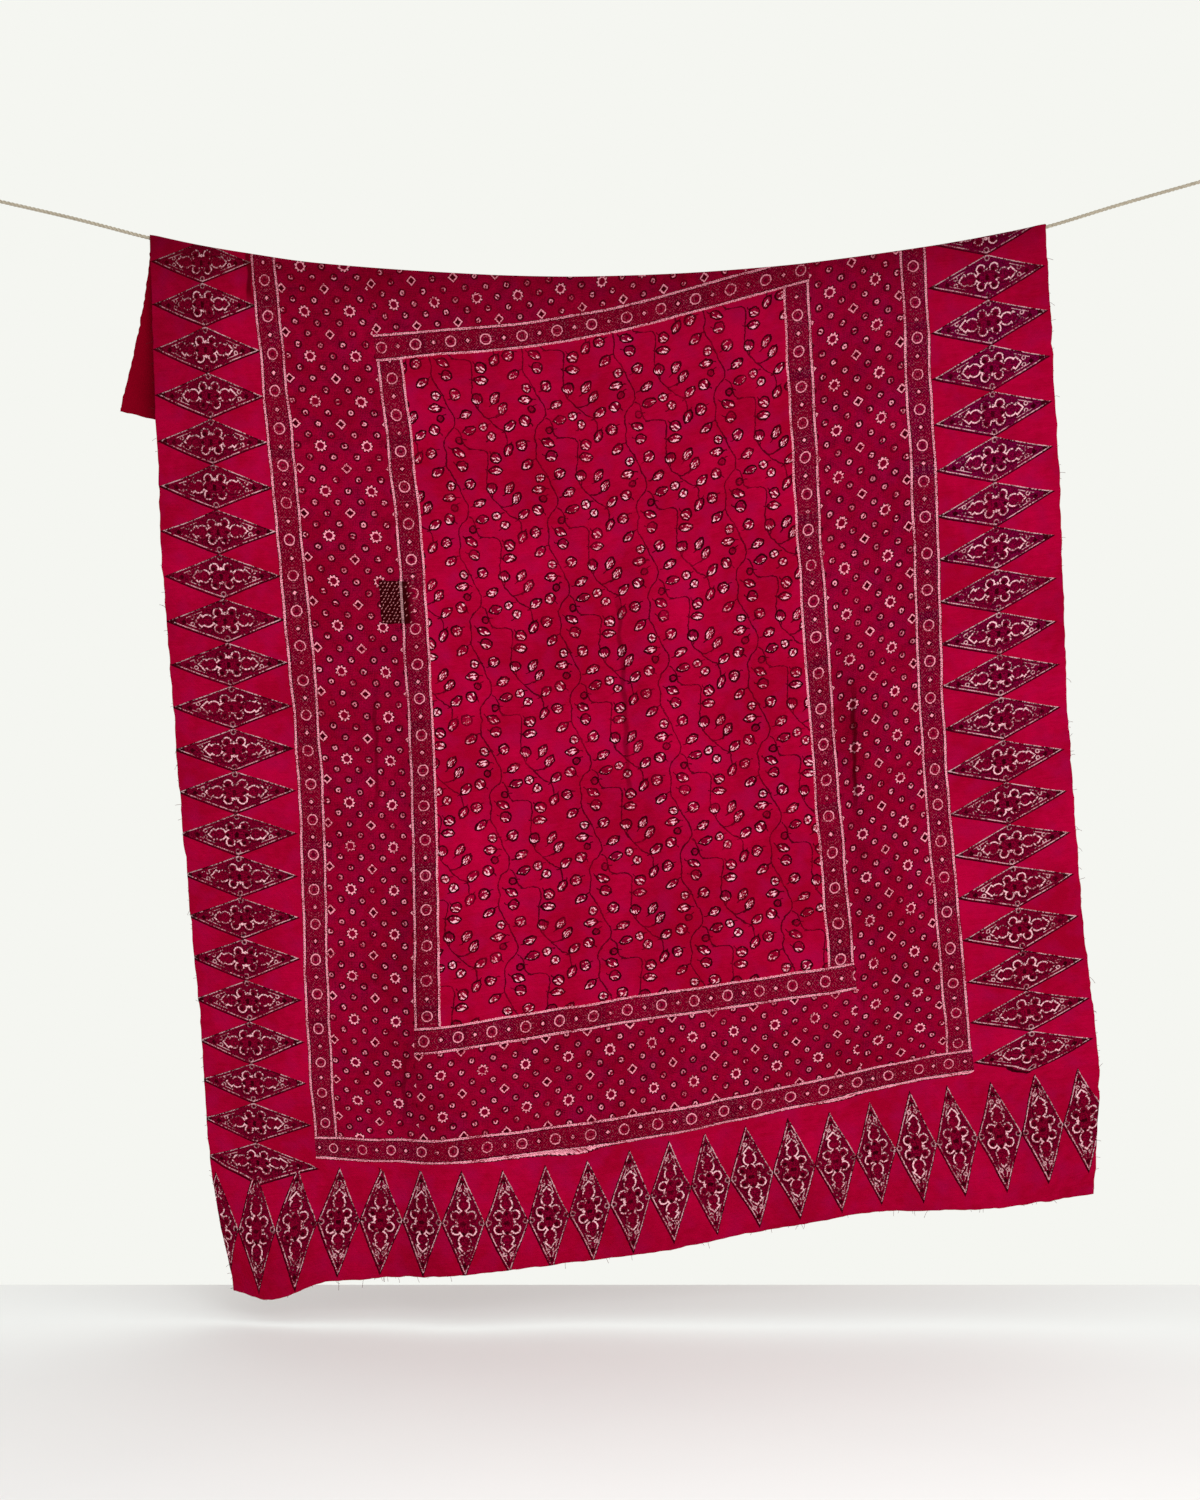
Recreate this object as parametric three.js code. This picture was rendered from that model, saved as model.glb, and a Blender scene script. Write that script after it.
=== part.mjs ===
import * as THREE from 'three';

// Kantha quilt hung over a rope line. Millimetres, +Z up, +X along the line to the right.
// The printed face of the front looks towards -Y. The origin is the point where the left
// loop of the line bears on its hook.

// Quilt as cut, and the patch sewn on it
const QUILT_WIDTH = 1466;
const QUILT_LENGTH = 1990;
const QUILT_THICKNESS = 3;
const PATCH_THICKNESS = 1;
const PIECE_GAP = 0.3;

// Line and its end loops
const LINE_DIAMETER = 6;
const LINE_SIDES = 10;
const LINE_STEPS = 76;
const LOOP_STEPS = 30;
const FOLD_GAP = 0.5;
const RIGHT_HOOK = { x: 2176, z: 38 };
const LEFT_LINE_ANGLE = Math.atan(0.222);
const RIGHT_LINE_ANGLE = Math.atan(0.275);
const LEG_OFFSET = 3.2;
const SEIZING_START = 76;
const SEIZING_LENGTH = 20;
const SEIZING_WALL = 2;
const SEIZING_GAP = 0.4;

// Centre of the line from x, z of one seizing to the other, sagging under the quilt
const LINE_ROUTE = [
  [248, -53], [368, -84], [448, -101.5], [528, -114.8], [608, -126.8], [688, -134.5],
  [768, -140.6], [848, -145.4], [928, -149.4], [1024, -151.6], [1088, -151], [1168, -148.6],
  [1248, -144.6], [1328, -138.6], [1408, -131.2], [1488, -121.2], [1568, -110],
  [1648, -97.6], [1728, -82.8], [1800, -66.8], [1920, -30.4],
];

// One end loop: distance in from the hook, and distance from the loop's middle, in order
// from the tail round the hook to the leg that runs on as the line
const LOOP_ROUTE = [
  [116, -3.2], [100, -3.2], [86, -3.2], [74, -3.6], [60, -8], [42, -15], [28, -18.9],
  [16, -20], [6, -17.3], [-0.7, -10], [-3, 0], [-0.7, 10], [6, 17.3], [16, 20],
  [28, 18.9], [42, 15], [60, 8], [74, 3.6], [86, 3.2],
];

// Upright lines of the quilt, by distance across the cloth from its left edge: the front's
// drop below the line, the x it passes at six heights, and the back hem's sideways shift
const UPRIGHTS = table(
  ['across', 'drop', 'fold', 'high', 'middle', 'low', 'skirt', 'hem', 'backShift'],
  [
    [0, 1693, 367.2, 382.4, 407, 445, 460.8, 498, -56],
    [80, 1687, 434.8, 459.8, 489.7, 518, 533.2, 562.3, -50],
    [193, 1641, 530.4, 568.8, 604.8, 620, 635.2, 651.2, -42],
    [383, 1609, 713.6, 762.4, 788, 795.2, 803.2, 814.4, -32],
    [729, 1559, 1070.4, 1101.3, 1128, 1149.4, 1156.8, 1164.8, -15],
    [900, 1531, 1242.7, 1267.8, 1293.6, 1319.4, 1329.1, 1338.7, -8],
    [1075, 1516, 1419.2, 1438.4, 1463.2, 1493.6, 1505.6, 1516.8, 0],
    [1265, 1535, 1607.2, 1624, 1637.6, 1669.6, 1686.4, 1700.8, 4],
    [1466, 1544, 1801.6, 1822.4, 1837, 1864.8, 1882, 1874, 0],
  ],
);

// Share of the front's drop at which each of those heights lies
const HEIGHTS = { fold: 0, high: 0.25, middle: 0.5, low: 0.75, skirt: 0.88, hem: 1 };

// Soft folds of the front: place across the cloth at the upper and lower end, how far down
// the drop they run, how far they rise towards the viewer, and the width of each flank
const FRONT_FOLDS = [
  { upper: -60, lower: -50, from: 0.3, to: 1.3, rise: -34, left: 100, right: 105 },
  { upper: 200, lower: 214, from: -0.1, to: 0.06, rise: -4, left: 14, right: 12 },
  { upper: 100, lower: 120, from: -0.1, to: 0.45, rise: 17, left: 48, right: 80 },
  { upper: 405, lower: 424, from: 0.22, to: 1.2, rise: 21, left: 46, right: 130 },
  { upper: 340, lower: 330, from: 0.5, to: 1.2, rise: -7, left: 60, right: 40 },
  { upper: 775, lower: 796, from: 0.16, to: 0.85, rise: 10, left: 26, right: 110 },
  { upper: 1086, lower: 1096, from: 0.36, to: 0.72, rise: -7, left: 18, right: 14 },
  { upper: 1122, lower: 1132, from: 0.3, to: 0.78, rise: 14, left: 22, right: 90 },
  { upper: 1256, lower: 1270, from: 0.1, to: 0.55, rise: 12, left: 60, right: 95 },
  { upper: 640, lower: 620, from: 0.85, to: 1.3, rise: -9, left: 70, right: 80 },
  { upper: 985, lower: 1000, from: 0.8, to: 1.3, rise: 8, left: 90, right: 60 },
  { upper: 1480, lower: 1500, from: 0.7, to: 1.3, rise: 22, left: 130, right: 110 },
];
const FOLD_EASE = 0.14;
const FOLD_START = 0.06;

// Ripples of the back flap at its hem: place across, how far they stand off, flank width
const BACK_FOLDS = [
  { at: 60, rise: 14, width: 90 },
  { at: 330, rise: 26, width: 80 },
  { at: 640, rise: 16, width: 100 },
  { at: 930, rise: 28, width: 90 },
  { at: 1240, rise: 18, width: 100 },
  { at: 1440, rise: 8, width: 70 },
];
const BACK_STAND = 0.07;
const BACK_EASE = 1.4;

// Cells of the cloth: across in strips, and down the front and the back in shares of the
// drop. The patch fills whole cells
const STRIPS = [
  { to: 193, cells: 7 }, { to: 347, cells: 5 }, { to: 401, cells: 3 }, { to: 740, cells: 9 },
  { to: 830, cells: 4 }, { to: 1060, cells: 6 }, { to: 1150, cells: 8 }, { to: QUILT_WIDTH, cells: 10 },
];
const PATCH_ACROSS = { from: 347, to: 401 };
const PATCH_DOWN = { from: 0.31, to: 0.352 };
const FRONT_SHARES = [
  { to: 0.02, cells: 1 }, { to: PATCH_DOWN.from, cells: 8 }, { to: PATCH_DOWN.to, cells: 2 },
  { to: 1, cells: 15 },
];
const BEND_CELLS = 6;
const BACK_CELLS = 8;

const LINE_RADIUS = LINE_DIAMETER / 2;
const BEND_RADIUS = LINE_RADIUS + FOLD_GAP + QUILT_THICKNESS / 2;
const BEND_LENGTH = Math.PI * BEND_RADIUS;
const FRONT_SLANT = 1.006;

const smoothstep = THREE.MathUtils.smoothstep;

// Rows of a table as objects, by the names of its columns.
function table(names, lines) {
  return lines.map((line) => Object.fromEntries(names.map((name, i) => [name, line[i]])));
}

// Height at x of the smooth curve through [x, value] knots, straight past both ends.
function curveAt(knots, x) {
  const last = knots.length - 1;
  const slope = (i) => {
    const a = knots[Math.max(0, i - 1)];
    const b = knots[Math.min(last, i + 1)];
    return (b[1] - a[1]) / (b[0] - a[0]);
  };
  if (x <= knots[0][0]) return knots[0][1] + slope(0) * (x - knots[0][0]);
  if (x >= knots[last][0]) return knots[last][1] + slope(last) * (x - knots[last][0]);
  const i = knots.findIndex((knot) => knot[0] > x) - 1;
  const [x0, y0] = knots[i];
  const [x1, y1] = knots[i + 1];
  const span = x1 - x0;
  const t = (x - x0) / span;
  const rise = t * t * (3 - 2 * t);
  return y0 + (y1 - y0) * rise
    + slope(i) * span * t * (1 - t) * (1 - t)
    - slope(i + 1) * span * t * t * (1 - t);
}

// Value of one named column of UPRIGHTS at a place across the cloth.
function uprightAt(column, across) {
  return curveAt(UPRIGHTS.map((row) => [row.across, row[column]]), across);
}

// Sideways place of the front at a place across the cloth and a share of its drop.
function frontX(across, share) {
  const knots = Object.entries(HEIGHTS).map(([height, at]) => [at, uprightAt(height, across)]);
  return curveAt(knots, share);
}

// Bell of unit height with its own width on each side.
function bell(distance, left, right) {
  const width = distance < 0 ? left : right;
  return Math.exp(-((distance / width) ** 2));
}

// How far the front stands towards the viewer of the plane it hangs in, nothing at the line.
function frontRelief(across, share) {
  let relief = 0;
  for (const fold of FRONT_FOLDS) {
    const place = THREE.MathUtils.mapLinear(share, fold.from, fold.to, fold.upper, fold.lower);
    const fadeIn = smoothstep(share, fold.from, fold.from + FOLD_EASE);
    const fadeOut = 1 - smoothstep(share, fold.to - FOLD_EASE, fold.to);
    relief += fold.rise * fadeIn * fadeOut * bell(across - place, fold.left, fold.right);
  }
  return relief * smoothstep(share, 0, FOLD_START);
}

// How far the ripples of the back flap stand off at a share of its drop.
function backRelief(across, share) {
  let relief = 0;
  for (const fold of BACK_FOLDS) relief += fold.rise * bell(across - fold.at, fold.width, fold.width);
  return relief * share ** BACK_EASE;
}

// Point of the cloth's middle layer, from the front hem (row 'front', share 1) up over the
// line ('bend') and down to the back hem ('back', share 1).
function clothPoint(across, row) {
  const topX = uprightAt('fold', across);
  const topZ = curveAt(LINE_ROUTE, topX);
  const drop = uprightAt('drop', across);
  if (row.panel === 'bend') {
    const angle = row.share * Math.PI;
    return new THREE.Vector3(topX, -BEND_RADIUS * Math.cos(angle), topZ + BEND_RADIUS * Math.sin(angle));
  }
  if (row.panel === 'front') {
    const y = -BEND_RADIUS - frontRelief(across, row.share);
    return new THREE.Vector3(frontX(across, row.share), y, topZ - drop * row.share);
  }
  const backDrop = QUILT_LENGTH - BEND_LENGTH - drop * FRONT_SLANT;
  const shift = uprightAt('backShift', across) * row.share ** BACK_EASE;
  const y = BEND_RADIUS + BACK_STAND * backDrop * row.share + backRelief(across, row.share);
  return new THREE.Vector3(topX + shift, y, topZ - backDrop * row.share);
}

// Places of the cells' edges from a table of strips that start at zero.
function cellEdges(strips) {
  const edges = [0];
  for (const strip of strips) {
    const start = edges[edges.length - 1];
    for (let i = 1; i <= strip.cells; i++) edges.push(start + ((strip.to - start) * i) / strip.cells);
  }
  return edges;
}

const columns = cellEdges(STRIPS);
const rows = [
  ...cellEdges(FRONT_SHARES).reverse().map((share) => ({ panel: 'front', share })),
  ...Array.from({ length: BEND_CELLS - 1 }, (_, i) => ({ panel: 'bend', share: (i + 1) / BEND_CELLS })),
  ...Array.from({ length: BACK_CELLS + 1 }, (_, i) => ({ panel: 'back', share: i / BACK_CELLS })),
];
const clothGrid = rows.map((row) => columns.map((across) => clothPoint(across, row)));

// Unit normal of the cloth at a grid point, pointing out of the printed face.
function clothNormal(j, i) {
  const east = clothGrid[j][Math.min(i + 1, columns.length - 1)];
  const west = clothGrid[j][Math.max(i - 1, 0)];
  const up = clothGrid[Math.min(j + 1, rows.length - 1)][i];
  const down = clothGrid[Math.max(j - 1, 0)][i];
  const across = east.clone().sub(west);
  return across.cross(up.clone().sub(down)).normalize();
}

// Closed slab over a block of grid cells, between two heights above the middle layer.
function slabGeometry(rowSpan, columnSpan, low, high) {
  const wide = columnSpan.to - columnSpan.from + 1;
  const tall = rowSpan.to - rowSpan.from + 1;
  const positions = [];
  for (const height of [low, high]) {
    for (let j = rowSpan.from; j <= rowSpan.to; j++) {
      for (let i = columnSpan.from; i <= columnSpan.to; i++) {
        const point = clothGrid[j][i].clone().addScaledVector(clothNormal(j, i), height);
        positions.push(point.x, point.y, point.z);
      }
    }
  }
  const at = (layer, j, i) => (layer * tall + j) * wide + i;
  const triangles = [];
  const quad = (a, b, c, d) => triangles.push(a, b, c, a, c, d);
  for (let j = 0; j < tall - 1; j++) {
    for (let i = 0; i < wide - 1; i++) {
      quad(at(1, j, i), at(1, j, i + 1), at(1, j + 1, i + 1), at(1, j + 1, i));
      quad(at(0, j + 1, i), at(0, j + 1, i + 1), at(0, j, i + 1), at(0, j, i));
    }
  }
  for (let i = 0; i < wide - 1; i++) {
    quad(at(0, 0, i), at(0, 0, i + 1), at(1, 0, i + 1), at(1, 0, i));
    quad(at(1, tall - 1, i), at(1, tall - 1, i + 1), at(0, tall - 1, i + 1), at(0, tall - 1, i));
  }
  for (let j = 0; j < tall - 1; j++) {
    quad(at(1, j, 0), at(1, j + 1, 0), at(0, j + 1, 0), at(0, j, 0));
    quad(at(0, j, wide - 1), at(0, j + 1, wide - 1), at(1, j + 1, wide - 1), at(1, j, wide - 1));
  }
  const geometry = new THREE.BufferGeometry();
  geometry.setAttribute('position', new THREE.Float32BufferAttribute(positions, 3));
  geometry.setIndex(triangles);
  geometry.computeVertexNormals();
  return geometry;
}

function nearestIndex(values, target) {
  let best = 0;
  values.forEach((value, i) => {
    if (Math.abs(value - target) < Math.abs(values[best] - target)) best = i;
  });
  return best;
}

function quiltGeometry() {
  const half = QUILT_THICKNESS / 2;
  return slabGeometry({ from: 0, to: rows.length - 1 }, { from: 0, to: columns.length - 1 }, -half, half);
}

function patchGeometry() {
  const frontShares = rows.map((row) => (row.panel === 'front' ? row.share : Infinity));
  const rowSpan = {
    from: nearestIndex(frontShares, PATCH_DOWN.to),
    to: nearestIndex(frontShares, PATCH_DOWN.from),
  };
  const columnSpan = {
    from: nearestIndex(columns, PATCH_ACROSS.from),
    to: nearestIndex(columns, PATCH_ACROSS.to),
  };
  const seat = QUILT_THICKNESS / 2 + PIECE_GAP;
  return slabGeometry(rowSpan, columnSpan, seat, seat + PATCH_THICKNESS);
}

// Round section of the line as a shape with few sides.
function lineSection() {
  const corners = [];
  for (let i = 0; i < LINE_SIDES; i++) {
    const angle = (2 * Math.PI * (i + 0.5)) / LINE_SIDES;
    corners.push(new THREE.Vector2(LINE_RADIUS * Math.cos(angle), LINE_RADIUS * Math.sin(angle)));
  }
  return new THREE.Shape(corners);
}

function tubeGeometry(points, steps) {
  const path = new THREE.CatmullRomCurve3(points);
  return new THREE.ExtrudeGeometry(lineSection(), { steps, extrudePath: path, bevelEnabled: false });
}

// Frame of an end loop: its hook point, the way in along the line, and the way up across it.
function loopFrame(hook, angle, side) {
  const inward = new THREE.Vector3(side * Math.cos(angle), 0, -Math.sin(angle));
  const upward = new THREE.Vector3(side * Math.sin(angle), 0, Math.cos(angle));
  const place = (along, off) => hook.clone().addScaledVector(inward, along).addScaledVector(upward, off);
  return { inward, upward, place };
}

function lineGeometry(left, right) {
  const joint = SEIZING_START + SEIZING_LENGTH / 2 + PIECE_GAP;
  const ends = [joint, joint + SEIZING_LENGTH, joint + 2 * SEIZING_LENGTH];
  const points = [
    ...ends.map((along) => left.place(along, LEG_OFFSET)),
    ...LINE_ROUTE.map(([x, z]) => new THREE.Vector3(x, 0, z)),
    ...ends.reverse().map((along) => right.place(along, LEG_OFFSET)),
  ];
  return tubeGeometry(points, LINE_STEPS);
}

function loopGeometry(frame) {
  return tubeGeometry(LOOP_ROUTE.map(([along, off]) => frame.place(along, off)), LOOP_STEPS);
}

// Outline with round ends that takes both legs of a loop side by side.
function legsOutline(Type, radius) {
  const outline = new Type();
  outline.moveTo(-LEG_OFFSET, -radius);
  outline.lineTo(LEG_OFFSET, -radius);
  outline.absarc(LEG_OFFSET, 0, radius, -Math.PI / 2, Math.PI / 2, false);
  outline.lineTo(-LEG_OFFSET, radius);
  outline.absarc(-LEG_OFFSET, 0, radius, Math.PI / 2, 1.5 * Math.PI, false);
  return outline;
}

function seizingMesh(name, frame, material) {
  const inner = LINE_RADIUS + SEIZING_GAP;
  const shape = legsOutline(THREE.Shape, inner + SEIZING_WALL);
  shape.holes.push(legsOutline(THREE.Path, inner));
  const options = { depth: SEIZING_LENGTH, bevelEnabled: false, curveSegments: 8, steps: 1 };
  const mesh = new THREE.Mesh(new THREE.ExtrudeGeometry(shape, options), material);
  mesh.name = name;
  const sideways = frame.inward.clone().cross(frame.upward);
  mesh.matrixAutoUpdate = false;
  mesh.matrix.makeBasis(frame.upward, sideways, frame.inward);
  mesh.matrix.setPosition(frame.place(SEIZING_START, 0));
  return mesh;
}

function cloth(colour) {
  return new THREE.MeshStandardMaterial({ color: colour, roughness: 0.9, metalness: 0 });
}

function namedMesh(name, geometry, material) {
  const mesh = new THREE.Mesh(geometry, material);
  mesh.name = name;
  return mesh;
}

const leftLoop = loopFrame(new THREE.Vector3(0, 0, 0), LEFT_LINE_ANGLE, 1);
const rightLoop = loopFrame(new THREE.Vector3(RIGHT_HOOK.x, 0, RIGHT_HOOK.z), RIGHT_LINE_ANGLE, -1);

const part = new THREE.Group();
part.add(
  namedMesh('quilt', quiltGeometry(), cloth(0xa3012b)),
  namedMesh('mend_patch', patchGeometry(), cloth(0x4b0b0f)),
  namedMesh('line', lineGeometry(leftLoop, rightLoop), cloth(0xbeaf96)),
  namedMesh('line_loop_left', loopGeometry(leftLoop), cloth(0xbeaf96)),
  namedMesh('line_loop_right', loopGeometry(rightLoop), cloth(0xbeaf96)),
  seizingMesh('seizing_left', leftLoop, cloth(0xa99877)),
  seizingMesh('seizing_right', rightLoop, cloth(0xa99877)),
);

export default part;
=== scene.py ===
"""Block-printed kantha quilt hung over a rope line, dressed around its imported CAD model.

Lengths are metres in the part's own frame: +X along the line to the right, +Y away from the
viewer, +Z up, with the origin where the left loop of the line bears on its hook. The block
print is laid out in millimetres of flat cloth: across from the quilt's left edge, and up from
the front hem.
"""

import logging
import math
from dataclasses import dataclass
from enum import Enum
from functools import reduce
from operator import or_
from typing import Any

import bpy
import numpy as np
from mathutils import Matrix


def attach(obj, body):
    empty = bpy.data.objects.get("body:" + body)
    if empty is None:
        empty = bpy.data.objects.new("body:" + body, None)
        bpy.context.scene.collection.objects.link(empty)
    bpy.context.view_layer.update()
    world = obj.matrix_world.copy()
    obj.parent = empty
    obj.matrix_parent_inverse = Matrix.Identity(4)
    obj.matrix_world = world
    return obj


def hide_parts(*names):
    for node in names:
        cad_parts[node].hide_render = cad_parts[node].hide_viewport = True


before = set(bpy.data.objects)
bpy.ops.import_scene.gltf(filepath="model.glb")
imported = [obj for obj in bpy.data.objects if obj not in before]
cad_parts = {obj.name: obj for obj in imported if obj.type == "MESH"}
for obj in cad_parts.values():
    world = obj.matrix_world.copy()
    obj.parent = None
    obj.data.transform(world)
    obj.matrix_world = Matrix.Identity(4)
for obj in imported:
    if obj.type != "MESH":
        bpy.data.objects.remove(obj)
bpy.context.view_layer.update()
log = logging.getLogger("kantha_quilt")

Array = np.ndarray
Point = tuple[float, float, float]
Colour = tuple[float, float, float, float]
BODY = "root"
CLOTH_MAP = "flat_cloth"
FOLD_SHADE = "fold_shade"
EDGE_RUN = "edge_run"
STRAND_MAP = "along_strand"


def paint(red: int, green: int, blue: int) -> Colour:
    """Linear colour of a shade named in screen values from 0 to 255."""
    levels = [level / 255 for level in (red, green, blue)]
    linear = [x / 12.92 if x <= 0.04045 else ((x + 0.055) / 1.055) ** 2.4 for x in levels]
    return (*linear, 1.0)


class Value:
    """A number that varies over a surface; arithmetic on it adds Math nodes."""

    def __init__(self, graph: "Graph", socket: bpy.types.NodeSocket) -> None:
        """Wraps an output socket of the graph."""
        self.graph = graph
        self.socket = socket

    def __add__(self, other: "Value | float") -> "Value":
        """Sum."""
        return self.graph.math("ADD", self, other)

    def __radd__(self, other: float) -> "Value":
        """Sum with a number on the left."""
        return self.graph.math("ADD", other, self)

    def __sub__(self, other: "Value | float") -> "Value":
        """Difference."""
        return self.graph.math("SUBTRACT", self, other)

    def __rsub__(self, other: float) -> "Value":
        """Difference from a number on the left."""
        return self.graph.math("SUBTRACT", other, self)

    def __mul__(self, other: "Value | float") -> "Value":
        """Product."""
        return self.graph.math("MULTIPLY", self, other)

    def __rmul__(self, other: float) -> "Value":
        """Product with a number on the left."""
        return self.graph.math("MULTIPLY", other, self)

    def __truediv__(self, other: "Value | float") -> "Value":
        """Quotient."""
        return self.graph.math("DIVIDE", self, other)

    def __abs__(self) -> "Value":
        """Distance from zero."""
        return self.graph.math("ABSOLUTE", self)

    def __lt__(self, other: "Value | float") -> "Value":
        """Mask of where this is the smaller."""
        return self.graph.math("LESS_THAN", self, other)

    def __gt__(self, other: "Value | float") -> "Value":
        """Mask of where this is the larger."""
        return self.graph.math("GREATER_THAN", self, other)

    def near(self, middle: "Value | float", half: float) -> "Value":
        """Mask of where this is within half of the middle."""
        return self.graph.math("COMPARE", self, middle, half)

    def __and__(self, other: "Value | float") -> "Value":
        """Overlap of two masks."""
        return self.graph.math("MULTIPLY", self, other)

    def __or__(self, other: "Value | float") -> "Value":
        """Union of two masks."""
        return self.graph.math("MAXIMUM", self, other)


def union(*masks: Value) -> Value:
    """Union of any number of masks."""
    return reduce(or_, masks)


class Graph:
    """Node tree of one material or of the world."""

    def __init__(self, owner: "bpy.types.Material | bpy.types.World") -> None:
        """Empties the owner's node tree."""
        owner.use_nodes = True
        self.owner = owner
        self.tree = owner.node_tree
        self.tree.nodes.clear()

    def node(
        self,
        kind: str,
        settings: dict[str, Any] | None = None,
        sockets: dict[str | int, Any] | None = None,
        output: str | int = 0,
    ) -> Value | None:
        """Adds any node.

        Args:
            kind: the node's type.
            settings: its properties, set first; "knots" are the points of a curve.
            sockets: values or links of its inputs, by name or number.
            output: name or number of the output that is wanted.

        Returns:
            That output, or None for a node that has none.
        """
        made = self.tree.nodes.new(kind)
        for name, setting in (settings or {}).items():
            if name == "knots":
                points = made.mapping.curves[0].points
                points[0].location, points[1].location = setting[0], setting[-1]
                for knot in setting[1:-1]:
                    points.new(*knot)
                made.mapping.update()
            else:
                setattr(made, name, setting)
        for key, value in (sockets or {}).items():
            if isinstance(value, Value):
                self.tree.links.new(value.socket, made.inputs[key])
            else:
                made.inputs[key].default_value = value
        return Value(self, made.outputs[output]) if made.outputs else None

    def math(self, operation: str, *values: "Value | float") -> Value:
        """One Math node."""
        return self.node("ShaderNodeMath", {"operation": operation}, dict(enumerate(values)))

    def vector(self, operation: str, *values: "Value | Point", output: str = "Vector") -> Value:
        """One Vector Math node."""
        sockets = dict(enumerate(values))
        return self.node("ShaderNodeVectorMath", {"operation": operation}, sockets, output)

    def distance(self, place: Value, centre: Point) -> Value:
        """Distance of a place from a fixed point."""
        return self.vector("DISTANCE", place, centre, output="Value")

    def length(self, vector: Value) -> Value:
        """Length of a vector."""
        return self.vector("LENGTH", vector, output="Value")

    def least(self, first: Value, *others: "Value | float") -> Value:
        """The smallest of some numbers."""
        for other in others:
            first = self.math("MINIMUM", first, other)
        return first

    def part(self, value: Value) -> Value:
        """What a number is past its whole."""
        return self.math("FRACT", value)

    def attribute(self, name: str) -> Value:
        """A number that the mesh holds at its points."""
        return self.node("ShaderNodeAttribute", {"attribute_name": name}, None, "Fac")

    def join(self, x: "Value | float", y: "Value | float", z: "Value | float" = 0.0) -> Value:
        """Vector of two or three numbers."""
        return self.node("ShaderNodeCombineXYZ", None, {0: x, 1: y, 2: z})

    def parts(self, vector: Value) -> tuple[Value, Value, Value]:
        """The three numbers of a vector."""
        made = self.node("ShaderNodeSeparateXYZ", None, {0: vector}).socket.node
        return tuple(Value(self, socket) for socket in made.outputs)

    def wrap(self, value: Value, half: float) -> Value:
        """A number folded into repeats from -half to half."""
        return self.math("WRAP", value, half, -half)

    def tile(self, place: Value, half: Point) -> Value:
        """A vector folded into repeats from -half to half."""
        return self.vector("WRAP", place, half, tuple(-x for x in half))

    def choose(self, where: Value, one: Value, other: Value) -> Value:
        """One vector where the mask is set, and the other elsewhere."""
        sockets = {0: where, 4: other, 5: one}
        return self.node("ShaderNodeMix", {"data_type": "VECTOR"}, sockets, 1)

    def blend(self, ground: "Value | Colour", over: "Value | Colour", share: Value) -> Value:
        """Colour laid over another by a share from 0 to 1."""
        sockets = {0: share, 6: ground, 7: over}
        return self.node("ShaderNodeMix", {"data_type": "RGBA"}, sockets, 2)

    def noise(self, place: Value, size: float, detail: float = 2.0, output: str = "Fac") -> Value:
        """Soft random patches of about the given size."""
        sockets = {"Vector": place, "Scale": 1 / size, "Detail": detail}
        return self.node("ShaderNodeTexNoise", None, sockets, output)

    def clamp(self, value: Value) -> Value:
        """A number held between 0 and 1."""
        return self.node("ShaderNodeClamp", None, {0: value})

    def bump(self, height: Value, depth: float) -> Value:
        """Normal of a relief from 0 to 1 whose low and high places are depth metres apart."""
        return self.node("ShaderNodeBump", None, {"Distance": depth, "Height": height})

    def surface(
        self, colour: Value, roughness: Value, bump: Value, constants: dict[str, float]
    ) -> Value:
        """Surface shader.

        Args:
            colour: base colour.
            roughness: roughness.
            bump: normal.
            constants: inputs that are the same all over.

        Returns:
            The shader.
        """
        sockets = {"Base Color": colour, "Roughness": roughness, "Normal": bump, **constants}
        return self.node("ShaderNodeBsdfPrincipled", None, sockets)

    def overlay(self, where: Value, one: Value, other: Value) -> Value:
        """One shader where the mask is set, and the other elsewhere."""
        return self.node("ShaderNodeMixShader", None, {0: where, 1: other, 2: one})

    def close(self, shader: Value) -> bpy.types.Material:
        """Closes a material with its surface shader."""
        self.node("ShaderNodeOutputMaterial", None, {"Surface": shader})
        return self.owner


CLOTH_SHEEN = {"Specular IOR Level": 0.01}
FIBRE_SHEEN = {"Specular IOR Level": 0.2}

# Running stitches' rows and pitch and the ladder lines' rungs in millimetres, relief in metres
STITCH_ROWS = 3.7
STITCH_PITCH = 8.5
LADDER_RUNGS = 2.9
STITCH_DEPTH = 0.0009


class BudKind(Enum):
    """Kinds of bud on the printed vine."""

    LEAF = 0
    ROUND = 1
    FLOWER = 2
    DARK = 3


@dataclass(frozen=True)
class Bud:
    """One bud of the vine's block, in millimetres right and down, pointing away from its stalk."""

    right: float
    down: float
    turn: float
    kind: BudKind


@dataclass(frozen=True)
class Stem:
    """One stem of the vine's block, as shares down and right of it, or right and down if lying."""

    first: float
    last: float
    knots: tuple[tuple[float, float], ...]
    lying: bool = False


@dataclass(frozen=True)
class Ink:
    """What one motif prints, as masks: where it lies, its dark and pale line, a darker ground."""

    where: Value
    dark: Value
    pale: Value
    tone: Value | float
    pale_ink: Colour


@dataclass(frozen=True)
class Weave:
    """What the whole face shares: dyes with a painted shade towards the hem, grain, how well ink
    covers it, painted shade of the creases, under the line and at the left edge, and relief.
    """

    dye_and_hem_shade: Value
    ground: Value
    grain: Value
    dark_cover: Value
    pale_cover: Value
    crease: Value
    bump: Value


@dataclass(frozen=True)
class Crease:
    """One sharp crease of the hanging face, drawn only as a dark line of painted shade, in
    millimetres of flat cloth, rising from its foot.
    """

    across: float
    low: float
    high: float
    lean: float
    half: float
    depth: float


CREASES = (
    Crease(320, 760, 965, 0.042, 5.0, 0.5), Crease(1102, 640, 850, 0.055, 4.8, 0.8),
    Crease(733, 720, 1070, 0.008, 6.0, 0.5), Crease(357, 238, 390, 0.036, 5.0, 0.45),
    Crease(183, 1570, 1790, 0.033, 7.5, 0.85),
)

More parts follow.
